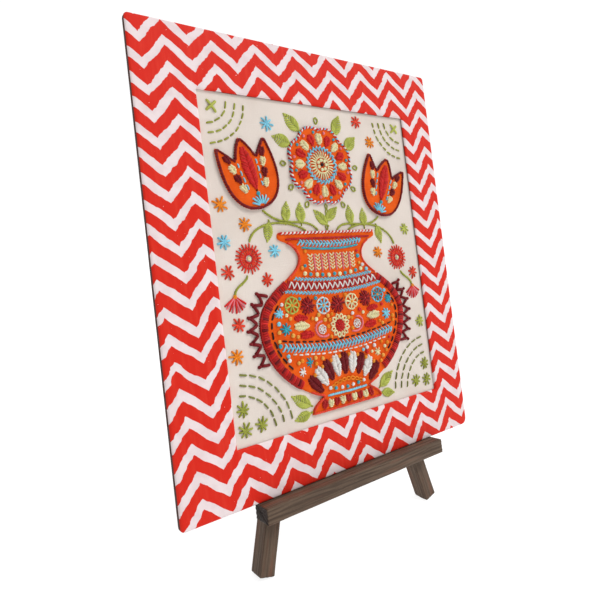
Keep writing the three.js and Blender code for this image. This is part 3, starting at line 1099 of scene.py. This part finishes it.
    def petal(self, colour, start, end, half_width, width=1.0, slant=0.5, padding=0.5, pitch=0.95):
        """Satin stitch filling a plump petal: pairs of stitches side by side that slant from its spine
        to its edges, with ends that do not quite line up."""
        start, end = np.asarray(start, float), np.asarray(end, float)
        length = math.hypot(*(end - start))
        way = (end - start) / length
        left = left_of(way)
        for distance in np.arange(0.5 * pitch, length - 0.3 * half_width, pitch):
            reach = half_width * math.sin(math.pi * (distance / length) ** 0.85) ** 0.62
            spine = start + way * distance
            for side in (-1, 1):
                edge = spine + way * slant * reach + left * side * (reach + hand.uniform(-0.25, 0.5))
                self.straight(
                    colour, spine - way * 0.2 * reach - left * side * 0.2, edge, width,
                    rise=padding * reach / half_width, slip=0.1,
                )

    def leaf(self, colour, vein, base, tip, half_width, width=1.15, pitch=1.22):
        """Fishbone stitch: stitches slanting from both edges down to a shared midrib, and a short stalk."""
        base, tip = np.asarray(base, float), np.asarray(tip, float)
        length = math.hypot(*(tip - base))
        way = (tip - base) / length
        left = left_of(way)
        for distance in np.arange(0.2, 0.98 * length, pitch):
            share = distance / length
            foot = base + way * max(distance - 0.24 * length * (1 - share ** 3), 0)
            reach = half_width * math.sin(math.pi * min(share + 0.02, 1) ** 0.9) ** 0.8
            for side in (-1, 1):
                edge = base + way * distance + left * side * max(reach, 0.1)
                self.straight(colour, foot - left * side * 0.25, edge, width, rise=0.12, slip=0.07)
        self.straight(colour, tip - way * 0.18 * length, tip + way * 0.4, width)
        self.stem(vein, np.array([base - way * 2.5, base + way * 0.5]), width, 2.4)

    def blanket(self, colours, path, depth, pitch=1.5, width=THREAD_WIDTH):
        """Blanket stitch along an edge: close spokes on its left, and a ridge of thread along it."""
        spots, ways = walk(path, np.arange(pitch / 2, run_of(path), pitch))
        for k, (spot, way) in enumerate(zip(spots, ways)):
            inner = spot + left_of(way) * (depth + hand.normal(0, 0.2))
            colour = colours[k % len(colours)]
            self.straight(colour, spot - left_of(way) * 0.1, inner, width, rise=0.25, slip=0.08)
        self.stem(colours[0], path, 0.85 * width, 2.8, lift=0.12)

    def feathers(self, colour, path, reach, pitch, width):
        """A feathered band: slanted stitches from each side by turns, crossing at the middle."""
        spots, ways = walk(path, np.arange(0, run_of(path) - 0.4 * pitch, pitch / 2))
        for k, (spot, way) in enumerate(zip(spots, ways)):
            side = 1 if k % 2 else -1
            left = left_of(way) * side
            self.straight(
                colour, spot + left * reach, spot - left * 0.35 * reach + way * 0.8 * pitch, width,
                rise=0.12, slip=0.08,
            )

    def arrow(self, colour, point, way, arm, spread, width=1.0):
        """Two straight stitches that meet in a V at this point."""
        point, way = np.asarray(point, float), np.asarray(way, float)
        for side in (-1, 1):
            self.straight(colour, point - way * arm + left_of(way) * side * spread, point, width, slip=0.06)

    def zigzag(self, colour, path, reach, pitch, width, lift=0.0, tail=0.0):
        """Straight stitches to and fro across a path, and a tail stitch out of each outer point where
        the tail is longer than 0."""
        spots, ways = walk(path, np.arange(0, run_of(path), pitch / 2))
        side = np.where(np.arange(len(spots)) % 2, 1.0, -1.0)[:, None]
        ends = spots + left_of(ways) * side * reach
        for start, end in zip(ends[:-1], ends[1:]):
            self.straight(colour, start, end, width, slip=0.08, lift=lift)
        if tail:
            for tip, foot in zip(ends[1::2], spots[1::2]):
                far = tip + (tip - foot) / abs(reach) * tail * hand.uniform(0.7, 1.2)
                self.straight(colour, tip, far, width, slip=0.2, lift=lift)

    def star(self, colour, centre, radius=4.8, arms=8, width=THREAD_WIDTH):
        """A star of straight stitches that all meet at the middle."""
        centre = np.asarray(centre)
        turn = hand.uniform(0, 360)
        for k in range(arms):
            way = ray(turn + 360 * k / arms)
            end = centre + way * radius * hand.normal(1, 0.07)
            self.straight(colour, end, centre - way * 0.3, width, lift=0.06 * (k % 4))

    def wheel(self, colour, centre, radius=5.3, spokes=8, width=1.15, rim=None):
        """A wheel of spokes with the thread caught round its rim."""
        turn = hand.uniform(0, 360)
        centre = np.asarray(centre, float)
        rim_spots = np.array([ray(turn + 360 * k / spokes) for k in range(spokes)])
        ends = centre + radius * rim_spots * hand.normal(1, 0.03, (spokes, 1))
        for k in range(spokes):
            self.straight(colour, ends[k], centre + (ends[k] - centre) * 0.07, width, lift=0.05)
            after = ends[(k + 1) % spokes]
            bowed = centre + ((ends[k] + after) / 2 - centre) * 1.08
            arc = np.array([ends[k], (ends[k] + bowed) / 2, bowed, (after + bowed) / 2, after])
            self.thread(rim or colour, arc, width, lift=0.12)

    def burst(self, colours, centre, radius=5.5, width=1.15):
        """A shaggy flower of straight stitches of uneven length, a short ring over a long one."""
        centre = np.asarray(centre, float)
        for inner, outer, count, lift in ((0.35, 1.0, 20, 0.0), (0.2, 0.74, 15, 0.4), (0.02, 0.45, 9, 0.8)):
            for k in range(count):
                way = radius * ray(360 * (k + hand.normal(0, 0.2)) / count)
                end = centre + way * outer * hand.uniform(0.86, 1.12)
                self.straight(colours[k % len(colours)], centre + way * inner, end, width, lift=lift)

    def knot(self, colour, centre, size=2.9):
        """A French knot: thread wound twice round the needle and drawn down into a bead."""
        centre = np.asarray(centre, float) + hand.normal(0, HAND_SLIP, 2)
        width = 0.4 * size
        share = np.linspace(0, 1, 22)
        angle = np.linspace(0, 4.6 * math.pi, 22) + hand.uniform(0, 6)
        away = np.interp(share, [0, 0.08, 0.55, 0.9, 1], [0.5, 0.8, 0.72, 0.42, 0.1]) * 0.39 * size
        height = np.interp(share, [0, 0.1, 0.5, 0.9, 1], [-0.2, 0.34, 0.62, 0.86, 0.2]) * 1.15 * width
        flat = centre + np.stack([away * np.cos(angle), away * np.sin(angle)], -1)
        self.lay(colour, flat, cloth_height(*centre) + height, width, hand.uniform(*KNOT_SHADES))

    def sew(self, name):
        """Makes the gathered stitches one piece."""
        u, v, height = np.concatenate(self.points).T
        placed = on_picture(middle_across + u, middle_up + v, height - LINEN_FRONT)
        made = make_piece(name, placed, self.faces, [floss(colour) for colour in self.colours])
        made.data.polygons.foreach_set("material_index", self.face_colours)
        made.data.uv_layers.new(name="strand").data.foreach_set("uv", np.array(self.strands, np.float32))
        mark_points(made, "shade", np.concatenate(self.shades))
        mark_points(made, "low_side", np.concatenate(self.low_sides))


def vase_edge(side, low, high, inset=0.0):
    """The vase's edge from one height to another, moved in by an inset."""
    v = np.linspace(low, high, 80)
    path = np.stack([vase_half_width(v), v], -1)
    way = np.gradient(path, axis=0)
    way /= np.linalg.norm(way, axis=1, keepdims=True)
    return flip(path + left_of(way) * inset, side)


vase_edging = Needlework()
for side in (-1, 1):
    up_edge = vase_edge(side, BELLY_FROM, BELLY_TO, 0.1)
    vase_edging.blanket(BAND_COLOURS, up_edge if side > 0 else up_edge[::-1], VASE_BAND, 1.5, 1.45)
    vase_edging.running("near_black", vase_edge(side, -72, -21, VASE_BAND + 2.4), 4.4, 1.7, 1.3)
    fringe_line = vase_edge(side, -62, -21, -4.4)
    vase_edging.zigzag("burgundy", fringe_line[::side], -2.9, 7.0, 2.1, tail=1.7)
    vase_edging.stem("red_orange", vase_edge(side, BELLY_TO + 1, 12, 0.5))
    vase_edging.stem("red_orange", vase_edge(side, -97.4, -84, 0.5))
vase_edging.stem("red_orange", np.array([(-29, -97.3), (0, -97.3), (29, -97.3)]))
vase_edging.sew("vase_edging")


# The vase's foot and lower belly: dark red and cream satin-stitched blocks under a light-blue line and
# a row of knots, and above them a fan of burgundy and white petals over an orange chain, all in floss.
FAN_HEART = np.array([0, -107.0])
FAN_INNER = 30
FAN_OUTER = 45.5
FAN_PETALS = 9
FAN_STEP = 10.6
FOOT_BLOCKS = 9

vase_base = Needlework()
for k in range(FOOT_BLOCKS):
    u = (k - (FOOT_BLOCKS - 1) / 2) * 5.3
    vase_base.petal("cream" if k % 2 else "dark_red", (u, -95.8), (u * 0.9, -90.2), 2.3)
vase_base.stem("light_blue", np.array([(-17, -88.0), (0, -88.4), (17, -88.0)]))
for k in range(7):
    vase_base.knot("turquoise" if k % 2 else "white", ((k - 3) * 4.9, -85.2 + 0.14 * (k - 3) ** 2), 2.6)
vase_base.chain("orange", circle(FAN_HEART, FAN_INNER - 3.2, 58, 122))
for k in range(FAN_PETALS):
    turn = (k - (FAN_PETALS - 1) / 2) * FAN_STEP
    way = ray(90 - turn)
    vase_base.petal(
        "white" if k % 2 else "burgundy", FAN_HEART + way * FAN_INNER, FAN_HEART + way * FAN_OUTER, 3.5,
    )
    if k < FAN_PETALS - 1:
        vase_base.knot("orange", FAN_HEART + (FAN_OUTER - 3) * ray(90 - turn - FAN_STEP / 2), 2.7)
vase_base.sew("vase_base_stitches")


# The vase's bands: rows of floss stitches that follow its roundness, each a little higher at its ends.
# Four are light-blue feathered bands, one is dark red satin stitch under a white zigzag, and others
# are running and stem lines, with a red and white rope along the mouth.
BAND_CURVE = 0.0022


def vase_band(height, reach, curve_up=BAND_CURVE):
    """A row across the vase, bent up towards its ends."""
    u = np.linspace(-reach, reach, 60)
    return np.stack([u, height + curve_up * u ** 2], -1)


vase_bands = Needlework()
vase_bands.feathers("light_blue", vase_band(-57.2, 47), 2.7, 2.9, 1.15)
vase_bands.running("white", vase_band(-61.4, 40), 3.0, 1.6, 1.1)
vase_bands.running("near_black", vase_band(-53.2, 47), 3.6, 1.6, 1.1)
satin_row = vase_band(-17.4, 38)
satin_spots, satin_ways = walk(satin_row, np.arange(0, run_of(satin_row), 1.2))
for spot, way in zip(satin_spots, satin_ways):
    vase_bands.straight("dark_red", spot - left_of(way) * 2.7, spot + left_of(way) * 2.7, 1.25, slip=0.15)
vase_bands.zigzag("white", satin_row, 2.2, 4.4, 0.95, lift=0.75)
vase_bands.feathers("light_blue", vase_band(-21.8, 43), 1.1, 2.6, 1.0)
vase_bands.feathers("light_blue", vase_band(-13.1, 33), 1.1, 2.6, 1.0)
vase_bands.feathers("light_blue", vase_band(10.6, 27, 0.003), 2.2, 2.9, 1.15)
vase_bands.stem("turquoise", vase_band(7.2, 24, 0.003))
vase_bands.stem("dark_red", np.array([(-36, 14.6), (0, 14.6), (36, 14.6)]))
vase_bands.rope(("red", "white"), np.array([(-39.4, 18.5), (0, 18.6), (39.4, 18.5)]))
vase_bands.sew("vase_bands")


# The vase's neck: pink stem-stitched lines with columns of cream arrows between them, and a row of
# cream and turquoise French knots on the shoulder below, all in floss.
vase_neck = Needlework()
NECK_STEP = 6.0
for k in range(-3, 4):
    for v in np.arange(-4.6, 4.4, 2.2):
        vase_neck.arrow("cream", (k * NECK_STEP, v - 1.8), (0, -1), arm=2.0, spread=1.9)
    if k < 3:
        line_u = (k + 0.5) * NECK_STEP
        vase_neck.stem("pink", np.array([(line_u, -7.4), (line_u, 4.0)]), 1.1)
for k, u in enumerate(np.linspace(-24, 24, 11)):
    colour, size = ("turquoise", 2.7) if k % 2 else ("cream", 3.0)
    vase_neck.knot(colour, (u, -10.2 + 0.004 * u ** 2), size)
vase_neck.sew("vase_neck_stitches")


# The row of wheels round the vase's widest part: spoked wheels of floss in lime, blue, cream and
# turquoise, with shaggy burgundy bursts between them.
wheel_row = Needlework()
WHEELS = (
    (-37.0, "lime", None), (-25.0, "burgundy", None), (-12.4, "light_blue", "white"), (0, "burgundy", None),
    (12.4, "cream", None), (25.0, "burgundy", None), (37.0, "turquoise", "light_blue"),
)
for u, colour, rim in WHEELS:
    centre = (u, -30.2 + BAND_CURVE * u ** 2)
    if colour == "burgundy":
        wheel_row.burst(("burgundy", "dark_red"), centre, 5.8)
        wheel_row.knot("pink", centre, 2.0)
    else:
        wheel_row.wheel(colour, centre, 5.2, rim=rim)
        wheel_row.knot("orange", centre, 2.3)
wheel_row.sew("wheel_row")


# The medallion under the wheels: a shaggy red flower with cream loop petals, and at each side a pink
# scroll round a small white wheel, satin-stitched petals in red and cream, and two blue stars.
medallion = Needlework()
HEART = np.array([0, -44.6])
medallion.burst(("dark_red", "red"), HEART, 4.2)
for k in range(12):
    way = ray(30 * k + 15)
    medallion.loop("cream", HEART + 4.2 * way, HEART + 7.6 * way, 1.3, 1.05)
for side in (-1, 1):
    medallion.stem("pink", curve((10.0, -49.4), (21, -54.0), (25, -39.0), (14.6, -40.2)) * (side, 1), 1.2)
    medallion.wheel("white", flip((15.2, -45.2), side), 2.9, 7, 0.85)
    medallion.petal("red", flip((22.0, -47.4), side), flip((33.6, -46.8), side), 2.5)
    medallion.petal("cream", flip((25.0, -41.6), side), flip((37.0, -40.6), side), 2.8)
    medallion.petal("red", flip((25.6, -36.4), side), flip((36.4, -35.4), side), 2.0)
    lower, upper = ("light_blue", "turquoise")[::side]
    medallion.star(lower, flip((43.4, -41.6), side), 4.0)
    medallion.star(upper, flip((47.0, -31.4), side), 3.4)
medallion.sew("medallion")


# The strewn stitches on the vase: French knots, most of them orange or apricot, and small white, cream
# and blue stars, wherever the cloth between the larger motifs is still bare. The stars come first.
strewn = Needlework()
KNOT_COLOURS = (
    "orange", "apricot", "orange", "white", "apricot", "turquoise",
    "orange", "cream", "light_blue", "apricot", "orange", "red",
)
SMALL_STAR_COLOURS = ("white", "cream", "turquoise", "light_blue")
SMALL_STAR_ROOM = 3.9
KNOT_ROOM = 2.0
EDGE_MARGIN = VASE_BAND + 5.0
NECK_MARGIN = 3.5
STAR_TRIES = 499
KNOT_TRIES = 2101
sewn = 0
for tried in range(STAR_TRIES + KNOT_TRIES):
    u, v = hand.uniform(-50, 50), hand.uniform(-80, 16)
    is_star = tried < STAR_TRIES
    margin = EDGE_MARGIN if -80 < v < -14 else NECK_MARGIN
    if abs(u) > vase_half_width(v) - margin or not bare(u, v, SMALL_STAR_ROOM if is_star else KNOT_ROOM):
        continue
    if is_star:
        strewn.star(SMALL_STAR_COLOURS[sewn % len(SMALL_STAR_COLOURS)], (u, v), 2.9, 7, 1.0)
    else:
        strewn.knot(KNOT_COLOURS[sewn % len(KNOT_COLOURS)], (u, v), hand.uniform(2.3, 3.1))
    sewn += 1
strewn.sew("strewn_knots")


# The rose: knots in a ring of cream blanket stitch at its heart, a light-blue feathered ring, petals in
# red and cream satin stitch, and a rope in red, white and light blue that sews its scalloped edge down.
rose = Needlework()
ROSE_HEART = np.array(ROSE, float)


def around_rose(degrees, reach):
    return ROSE_HEART + reach * ray(degrees)


rose.knot("near_black", ROSE_HEART, 2.6)
for k in range(7):
    rose.knot("cream", around_rose(360 * k / 7, 3.2), 2.6)
rose.blanket(("cream",), circle(ROSE_HEART, 5.6)[::-1], 3.9, 1.35, 1.0)
rose.feathers("light_blue", circle(ROSE_HEART, 11.6), 1.6, 2.9, 1.1)
for k in range(16):
    rose.petal("red" if k % 2 else "cream", around_rose(22.5 * k, 14.0), around_rose(22.5 * k, 22.0), 2.7)
    rose.knot("pink" if k % 2 else "turquoise", around_rose(22.5 * k + 11.25, 22.6), 2.2)
angles = np.linspace(0, 2 * math.pi, 400)
rim = rose_reach(angles) - 0.2
rose.rope(
    ("red", "white", "red", "light_blue"),
    ROSE_HEART + np.stack([rim * np.cos(angles), rim * np.sin(angles)], -1),
)
rose.sew("rose_stitches")


# The tulips: a satin-stitched middle petal, rows of cream and burgundy drops on the outer petals, a
# light-blue calyx, and a burgundy outline in stem stitch that sews the cloth's edge down.
for side_name, (u, v, turn) in TULIPS.items():
    tulip = Needlework()

    def at(*points):
        return turn_by(np.array(points, float), turn) + (u, v)

    outline = np.concatenate([tulip_side, tulip_side[-2:0:-1] * (-1, 1), tulip_side[:1]])
    tulip.stem("burgundy", at(*(outline * 0.975)), 1.4)
    tulip.petal("red", at((0, -9.0))[0], at((0, 18.5))[0], 4.3)
    for side in (-1, 1):
        for k in range(4):
            start = np.array([side * (7.3 + 1.5 * k), -9.5 + 6.4 * k])
            tulip.petal("burgundy" if k % 2 else "cream", at(start)[0], at(start + (side * 2.4, 6.0))[0], 2.1)
        tulip.running("light_blue", at((side * 5.4, -8), (side * 6.6, 2), (side * 6.8, 9)), 3.0, 1.4, 1.1)
    for k in range(7):
        way = turn_by((math.sin((k - 3) * 0.34), math.cos((k - 3) * 0.34)), turn)
        heart = at((0, -20))[0]
        tulip.straight("light_blue", heart + way * 2.0, heart + way * (7.4 + 0.8 * (k % 2)), 1.25)
    tulip.knot("turquoise", at((0, -11.6))[0], 2.8)
    tulip.sew(f"tulip_{side_name}_stitches")


# The stems and leaves on the linen: chain and stem stitch in olive floss, from the vase's mouth to the
# flowers, with plump fishbone-stitched leaves in lime on olive stalks, and olive loops round the rose.
greenery = Needlework()
greenery.chain("olive", curve((0, 19.8), (-2, 26), (3, 31), (1, 37.4)))
for path in (
    curve((-8, 19.8), (-16, 31), (-36, 20), (-49.4, 33.4)),
    curve((8, 19.8), (16, 30), (36, 17), (49.0, 28.8)),
    curve((-18, 19.8), (-30, 28), (-57, 28), (-61.5, 14.2)),
    curve((18, 19.8), (30, 27), (57, 24), (61.5, 8.2)),
):
    greenery.stem("olive", path)
LEAVES = (
    ((0, 24), (-9.5, 33.5), 3.6), ((0.6, 27), (10.5, 35.5), 3.6), ((-21, 25.6), (-20.5, 38.5), 3.9),
    ((-33, 26.5), (-31, 39), 3.6), ((22, 24.4), (21, 37), 3.9), ((34, 22.6), (34, 35), 3.6),
    ((-46, 25.2), (-48.5, 13.5), 3.4), ((46, 21.4), (49, 9.6), 3.4),
)
for base, tip, half in LEAVES:
    greenery.leaf("lime", "olive", base, tip, half)
for angle, length in ((124, 14.5), (151, 13), (56, 14.5), (29, 13)):
    greenery.leaf("lime", "olive", around_rose(angle, 27.6), around_rose(angle + 4, 27.6 + length), 4.5)
for angle in (0, 90, 180, 210, 240, 300, 330):
    greenery.loop("olive", around_rose(angle, 28.4), around_rose(angle, 32.6), 1.6, 1.1)
greenery.sew("stems_and_leaves")


# The side flowers on the linen: wheels of straight red stitches, and under them drooping buds in red
# and pink floss on olive stalks, with small leaves at the foot of the vase.
side_flowers = Needlework()
for side, high in ((-1, 4.0), (1, -2.0)):
    centre = np.array([side * 63.0, high])
    for k in range(22):
        way = ray(360 * k / 22)
        side_flowers.straight("red_orange", centre + 3.0 * way, centre + (8.9 + 0.8 * (k % 2)) * way, 1.15)
    side_flowers.stem("red", circle(centre, 2.9, steps=24), 1.1, 2.2)
    side_flowers.stem("red", circle(centre, 6.2), 1.0, 3.0, lift=0.3)
    side_flowers.knot("cream", centre, 2.6)
    stalk = curve(
        centre + (side * 2, -10), centre + (side * 3, -15), centre + (side * 12, -15),
        centre + (side * 12.5, -22),
    )
    side_flowers.stem("olive", stalk)
    bud = stalk[-1]
    for k in range(9):
        tip = bud + ray((k - 4) * 14 - 90) * (10.0 - 0.3 * abs(k - 4))
        side_flowers.straight("pink" if k % 2 else "red", bud, tip, 1.3)
    side_flowers.knot("orange", bud, 2.8)
    side_flowers.leaf("lime", "olive", flip((31, -91.4), side), flip((44, -83.4), side), 4.0)
    side_flowers.leaf("lime", "olive", flip((32, -96.4), side), flip((43.5, -98.4), side), 3.3)
side_flowers.sew("side_flowers")


# The corners of the linen: quarter circles of running stitch, olive above and dark green below, with a
# small lime cross at each upper corner and olive stars at each lower one.
corners = Needlework()
for side in (-1, 1):
    for radius in (15.5, 21.5, 27.5):
        corners.running("olive", flip(circle((82, 101), radius, 184, 266), side), 4.2, 1.2, 1.15)
        corners.running("dark_green", flip(circle((83, -101), radius + 10.5, 97, 173), side), 5.0, 1.3, 1.15)
    cross = flip((76.6, 96.2), side)
    for tilt in (40, 130):
        corners.straight("lime", cross - 4.6 * ray(tilt), cross + 4.6 * ray(tilt), 1.7)
    for u, v in ((78.4, -95.6), (67.0, -94.8), (78.4, -83.8)):
        corners.star("olive", flip((u, v), side), 4.6, width=1.3)
corners.sew("corner_stitches")


# The loose stars: eight-armed stars in orange, red, light blue and lime floss, strewn over the linen
# wherever it is still bare, and kept apart from each other.
stars = Needlework()
STAR_COLOURS = ("orange", "red_orange", "light_blue", "orange", "lime", "red_orange")
STAR_SPACE = 6.6
STARS_APART = 15.5
LOOSE_TRIES = 3000
star_places = []
compass = np.radians(np.arange(0, 360, 30))
for _ in range(LOOSE_TRIES):
    u, v = hand.uniform(-79, 79), hand.uniform(-99, 99)
    if any(math.hypot(u - x, v - y) < STARS_APART for x, y in star_places) or not bare(u, v, STAR_SPACE):
        continue
    round_star = patch_height(u + STAR_SPACE * np.cos(compass), v + STAR_SPACE * np.sin(compass))
    if round_star.max() > 0 or patch_height(np.array(u), np.array(v)) > 0:
        continue
    stars.star(STAR_COLOURS[len(star_places) % len(STAR_COLOURS)], (u, v), hand.uniform(4.2, 5.0))
    star_places.append((u, v))
stars.sew("loose_stars")


# The easel: square bars of soft wood, sawn, left a little rough and stained dark brown. The ledge
# carries the picture across two splayed front legs, which meet a block behind the picture.
# The rear leg props the block from behind.
EASEL_SHIFT = 2.2
LEDGE_LENGTH = 151
LEDGE_DEPTH = 13.5
LEDGE_HEIGHT = 9.4
PIECE_GAP = 0.3
LEG_WIDTH = 10
LEG_DEPTH = 11
LEG_SPLAY = math.radians(15.5)
FOOT_HALF_SPACING = 72.4
FOOT_BELOW_PICTURE = 45.3
HEAD_WIDTH = 24
HEAD_HEIGHT = 40
BAR_EDGE_ROUND = 0.55
WOOD_DARK = dye(74, 58, 46)
WOOD_BROWN = dye(106, 86, 69)
WOOD_WORN = dye(150, 126, 106)
WOOD_RED = dye(124, 78, 58)
WOOD_PORE = dye(46, 34, 27)
WOOD_END = dye(44, 33, 27)


def stained_wood():
    """Dark brown stain over open grain: dark pores, paler ridges, and end grain that drank more."""
    wood = Finish("stained_wood", Specular_IOR_Level=0.3)
    place = wood.marked("grain_mm")
    along, across, deep = wood.parts(place)
    bent = wood.times_plus(wood.noise(place, size=60, detail=2), 5, across)
    streaks = wood.noise(wood.place(along, bent, deep), size=1.3, detail=5, squeeze=(0.035, 1, 1))
    pores = wood.noise(place, size=0.4, detail=3, squeeze=(0.09, 1, 1))
    cloudy = wood.noise(place, size=22, detail=3)
    scratched = wood.noise(place, size=0.55, detail=3, squeeze=(0.012, 1, 1))
    reddened = wood.noise(place, size=3.4, detail=3, squeeze=(0.06, 1, 1))
    colour = wood.blend(wood.between(streaks, 0.3, 0.68), WOOD_DARK, WOOD_BROWN)
    for share, stain in (
        (wood.between(reddened, 0.52, 0.7, 0, 0.6), WOOD_RED),
        (wood.between(scratched, 0.66, 0.74, 0, 0.6), WOOD_WORN),
        (wood.between(cloudy, 0.45, 0.75, 0, 0.4), WOOD_DARK),
        (wood.between(pores, 0.6, 0.75, 0, 0.55), WOOD_PORE),
        (wood.marked("end_grain", "Fac"), WOOD_END),
    ):
        colour = wood.blend(share, colour, stain)
    relief = wood.raise_by(streaks, 0.35)
    relief = wood.raise_by(pores, 0.25, relief)
    return wood.use(Base_Color=colour, Roughness=wood.between(streaks, 0.3, 0.8, 0.75, 0.5), Normal=relief)


wood_finish = stained_wood()


def bar_section(width, depth):
    """Points round a bar's section, across and deep, with small rounded corners."""
    points = []
    for x, y, start in ((1, 1, 0), (-1, 1, 90), (-1, -1, 180), (1, -1, 270)):
        corner = np.array([x * (width / 2 - BAR_EDGE_ROUND), y * (depth / 2 - BAR_EDGE_ROUND)])
        points += [corner + BAR_EDGE_ROUND * ray(angle) for angle in np.linspace(start, start + 90, 4)]
        nearest = points[-1]
        side = (width if start in (0, 180) else depth) - 2 * BAR_EDGE_ROUND
        points += [nearest + ray(start + 180) * side * k / 6 for k in range(1, 6)]
    return np.array(points)


def saw_bar(name, node, width, depth, length, to_metres, end_roughness=0.2):
    """A bar with softly uneven faces and rounded ends. to_metres takes its millimetres along, across
    and deep, and places them in the frame."""
    section = bar_section(width, depth)
    rim = np.array([1 - 2 * BAR_EDGE_ROUND / width, 1 - 2 * BAR_EDGE_ROUND / depth])
    nearly = np.array([1 - 0.32 / width, 1 - 0.32 / depth])
    from_end = [(0, rim * scale, 1.0) for scale in (0.15, 0.38, 0.6, 0.82, 1)]
    from_end += [(0.16, nearly, 0.6), (BAR_EDGE_ROUND, np.ones(2), 0.15)]
    middle = [(along, np.ones(2), 0.0) for along in np.linspace(1.3, length - 1.3, int(length / 2))]
    to_end = [(length - along, scale, on_end) for along, scale, on_end in from_end[::-1]]
    points, ends = [], []
    for along, scale, on_end in from_end + middle + to_end:
        ring = section * scale
        wave = np.sin(along / 9 + ring[:, :1] * 0.7) + 0.8 * np.sin(along / 3.7 + ring[:, 1:] * 0.9)
        grooves = np.sin(2.3 * ring[:, 0] + 1.7 * ring[:, 1] + np.sin(0.9 * ring[:, 1]))
        inward = end_roughness * (0.6 + 0.6 * grooves) * on_end
        lengthwise = along + (inward if along < length / 2 else -inward)
        points.append(np.column_stack([lengthwise, ring * (1 + 0.004 * wave)]))
        ends.append(np.full(len(ring), on_end))
    flat = np.concatenate(points)
    columns = len(section)
    faces = grid_faces(len(points), columns, closed_columns=True)
    faces.append(tuple(range(columns))[::-1])
    faces.append(tuple((len(points) - 1) * columns + k for k in range(columns)))
    made = make_piece(name, to_metres(*flat.T), faces, [wood_finish])
    mark_points(made, "grain_mm", flat)
    mark_points(made, "end_grain", np.concatenate(ends))
    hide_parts(node)


leg_front = -FRAME_THICKNESS - PIECE_GAP


def place_ledge(along, across, deep):
    out = leg_front + PIECE_GAP + LEDGE_DEPTH / 2 + deep
    return on_picture(EASEL_SHIFT + along - LEDGE_LENGTH / 2, across - PIECE_GAP - LEDGE_HEIGHT / 2, out)


saw_bar("easel_ledge", "ledge", LEDGE_HEIGHT, LEDGE_DEPTH, LEDGE_LENGTH, place_ledge, 0.5)

leg_run = (FOOT_HALF_SPACING - HEAD_WIDTH / 2 - PIECE_GAP) / math.sin(LEG_SPLAY)
for side, side_name in ((-1, "left"), (1, "right")):

    def place_leg(along, across, deep):
        """The leg is sawn upright where it meets the block, and worn flat where its corner stands."""
        reach = leg_run + side * across / math.tan(LEG_SPLAY)
        along = along * reach / leg_run
        x = side * FOOT_HALF_SPACING + across * math.cos(LEG_SPLAY) - side * along * math.sin(LEG_SPLAY)
        up = along * math.cos(LEG_SPLAY) + side * across * math.sin(LEG_SPLAY) - FOOT_BELOW_PICTURE
        placed = on_picture(EASEL_SHIFT + x, up, leg_front - LEG_DEPTH / 2 - deep)
        placed[:, 2] = np.maximum(placed[:, 2], 0)
        return placed

    saw_bar(f"easel_leg_{side_name}", f"leg_{side_name}", LEG_WIDTH, LEG_DEPTH, leg_run, place_leg)

head_middle = (FOOT_HALF_SPACING - HEAD_WIDTH / 2) / math.tan(LEG_SPLAY) - FOOT_BELOW_PICTURE


def place_head(along, across, deep):
    return on_picture(
        EASEL_SHIFT + across, head_middle - HEAD_HEIGHT / 2 + along, leg_front - LEG_DEPTH / 2 - deep,
    )


saw_bar("easel_head", "head_block", HEAD_WIDTH, LEG_DEPTH, HEAD_HEIGHT, place_head)

# The rear leg runs from the back of the head block down to the floor, in millimetres back and up
# from the picture's lower front edge. Its top is cut flat to the block and its foot flat to the floor.
REAR_LEG_WIDTH = 12
REAR_LEG_THICKNESS = 10
REAR_FOOT_BEHIND = 122
floor_below = picture_z / MM
behind_head = FRAME_THICKNESS + PIECE_GAP + LEG_DEPTH + PIECE_GAP
hip = np.array([
    behind_head * math.cos(LEAN) + head_middle * math.sin(LEAN),
    head_middle * math.cos(LEAN) - behind_head * math.sin(LEAN),
])
rear_way = np.array([REAR_FOOT_BEHIND, -floor_below]) - hip
rear_length = math.hypot(*rear_way)
rear_way /= rear_length
block_way = np.array([math.sin(LEAN), math.cos(LEAN)])


def place_rear_leg(along, across, deep):
    side_start = hip[:, None] + np.array([-rear_way[1], rear_way[0]])[:, None] * deep
    off_block = side_start - hip[:, None]
    to_block = (off_block[0] * block_way[1] - off_block[1] * block_way[0]) / (
        block_way[0] * rear_way[1] - block_way[1] * rear_way[0]
    )
    to_floor = (-floor_below - side_start[1]) / rear_way[1]
    run = to_block + (to_floor - to_block) * along / rear_length
    back, up = side_start + rear_way[:, None] * run
    return np.stack([(EASEL_SHIFT - across) * MM, picture_y + back * MM, picture_z + up * MM], -1)


saw_bar("easel_rear_leg", "rear_leg", REAR_LEG_WIDTH, REAR_LEG_THICKNESS, rear_length, place_rear_leg)


low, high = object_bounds()
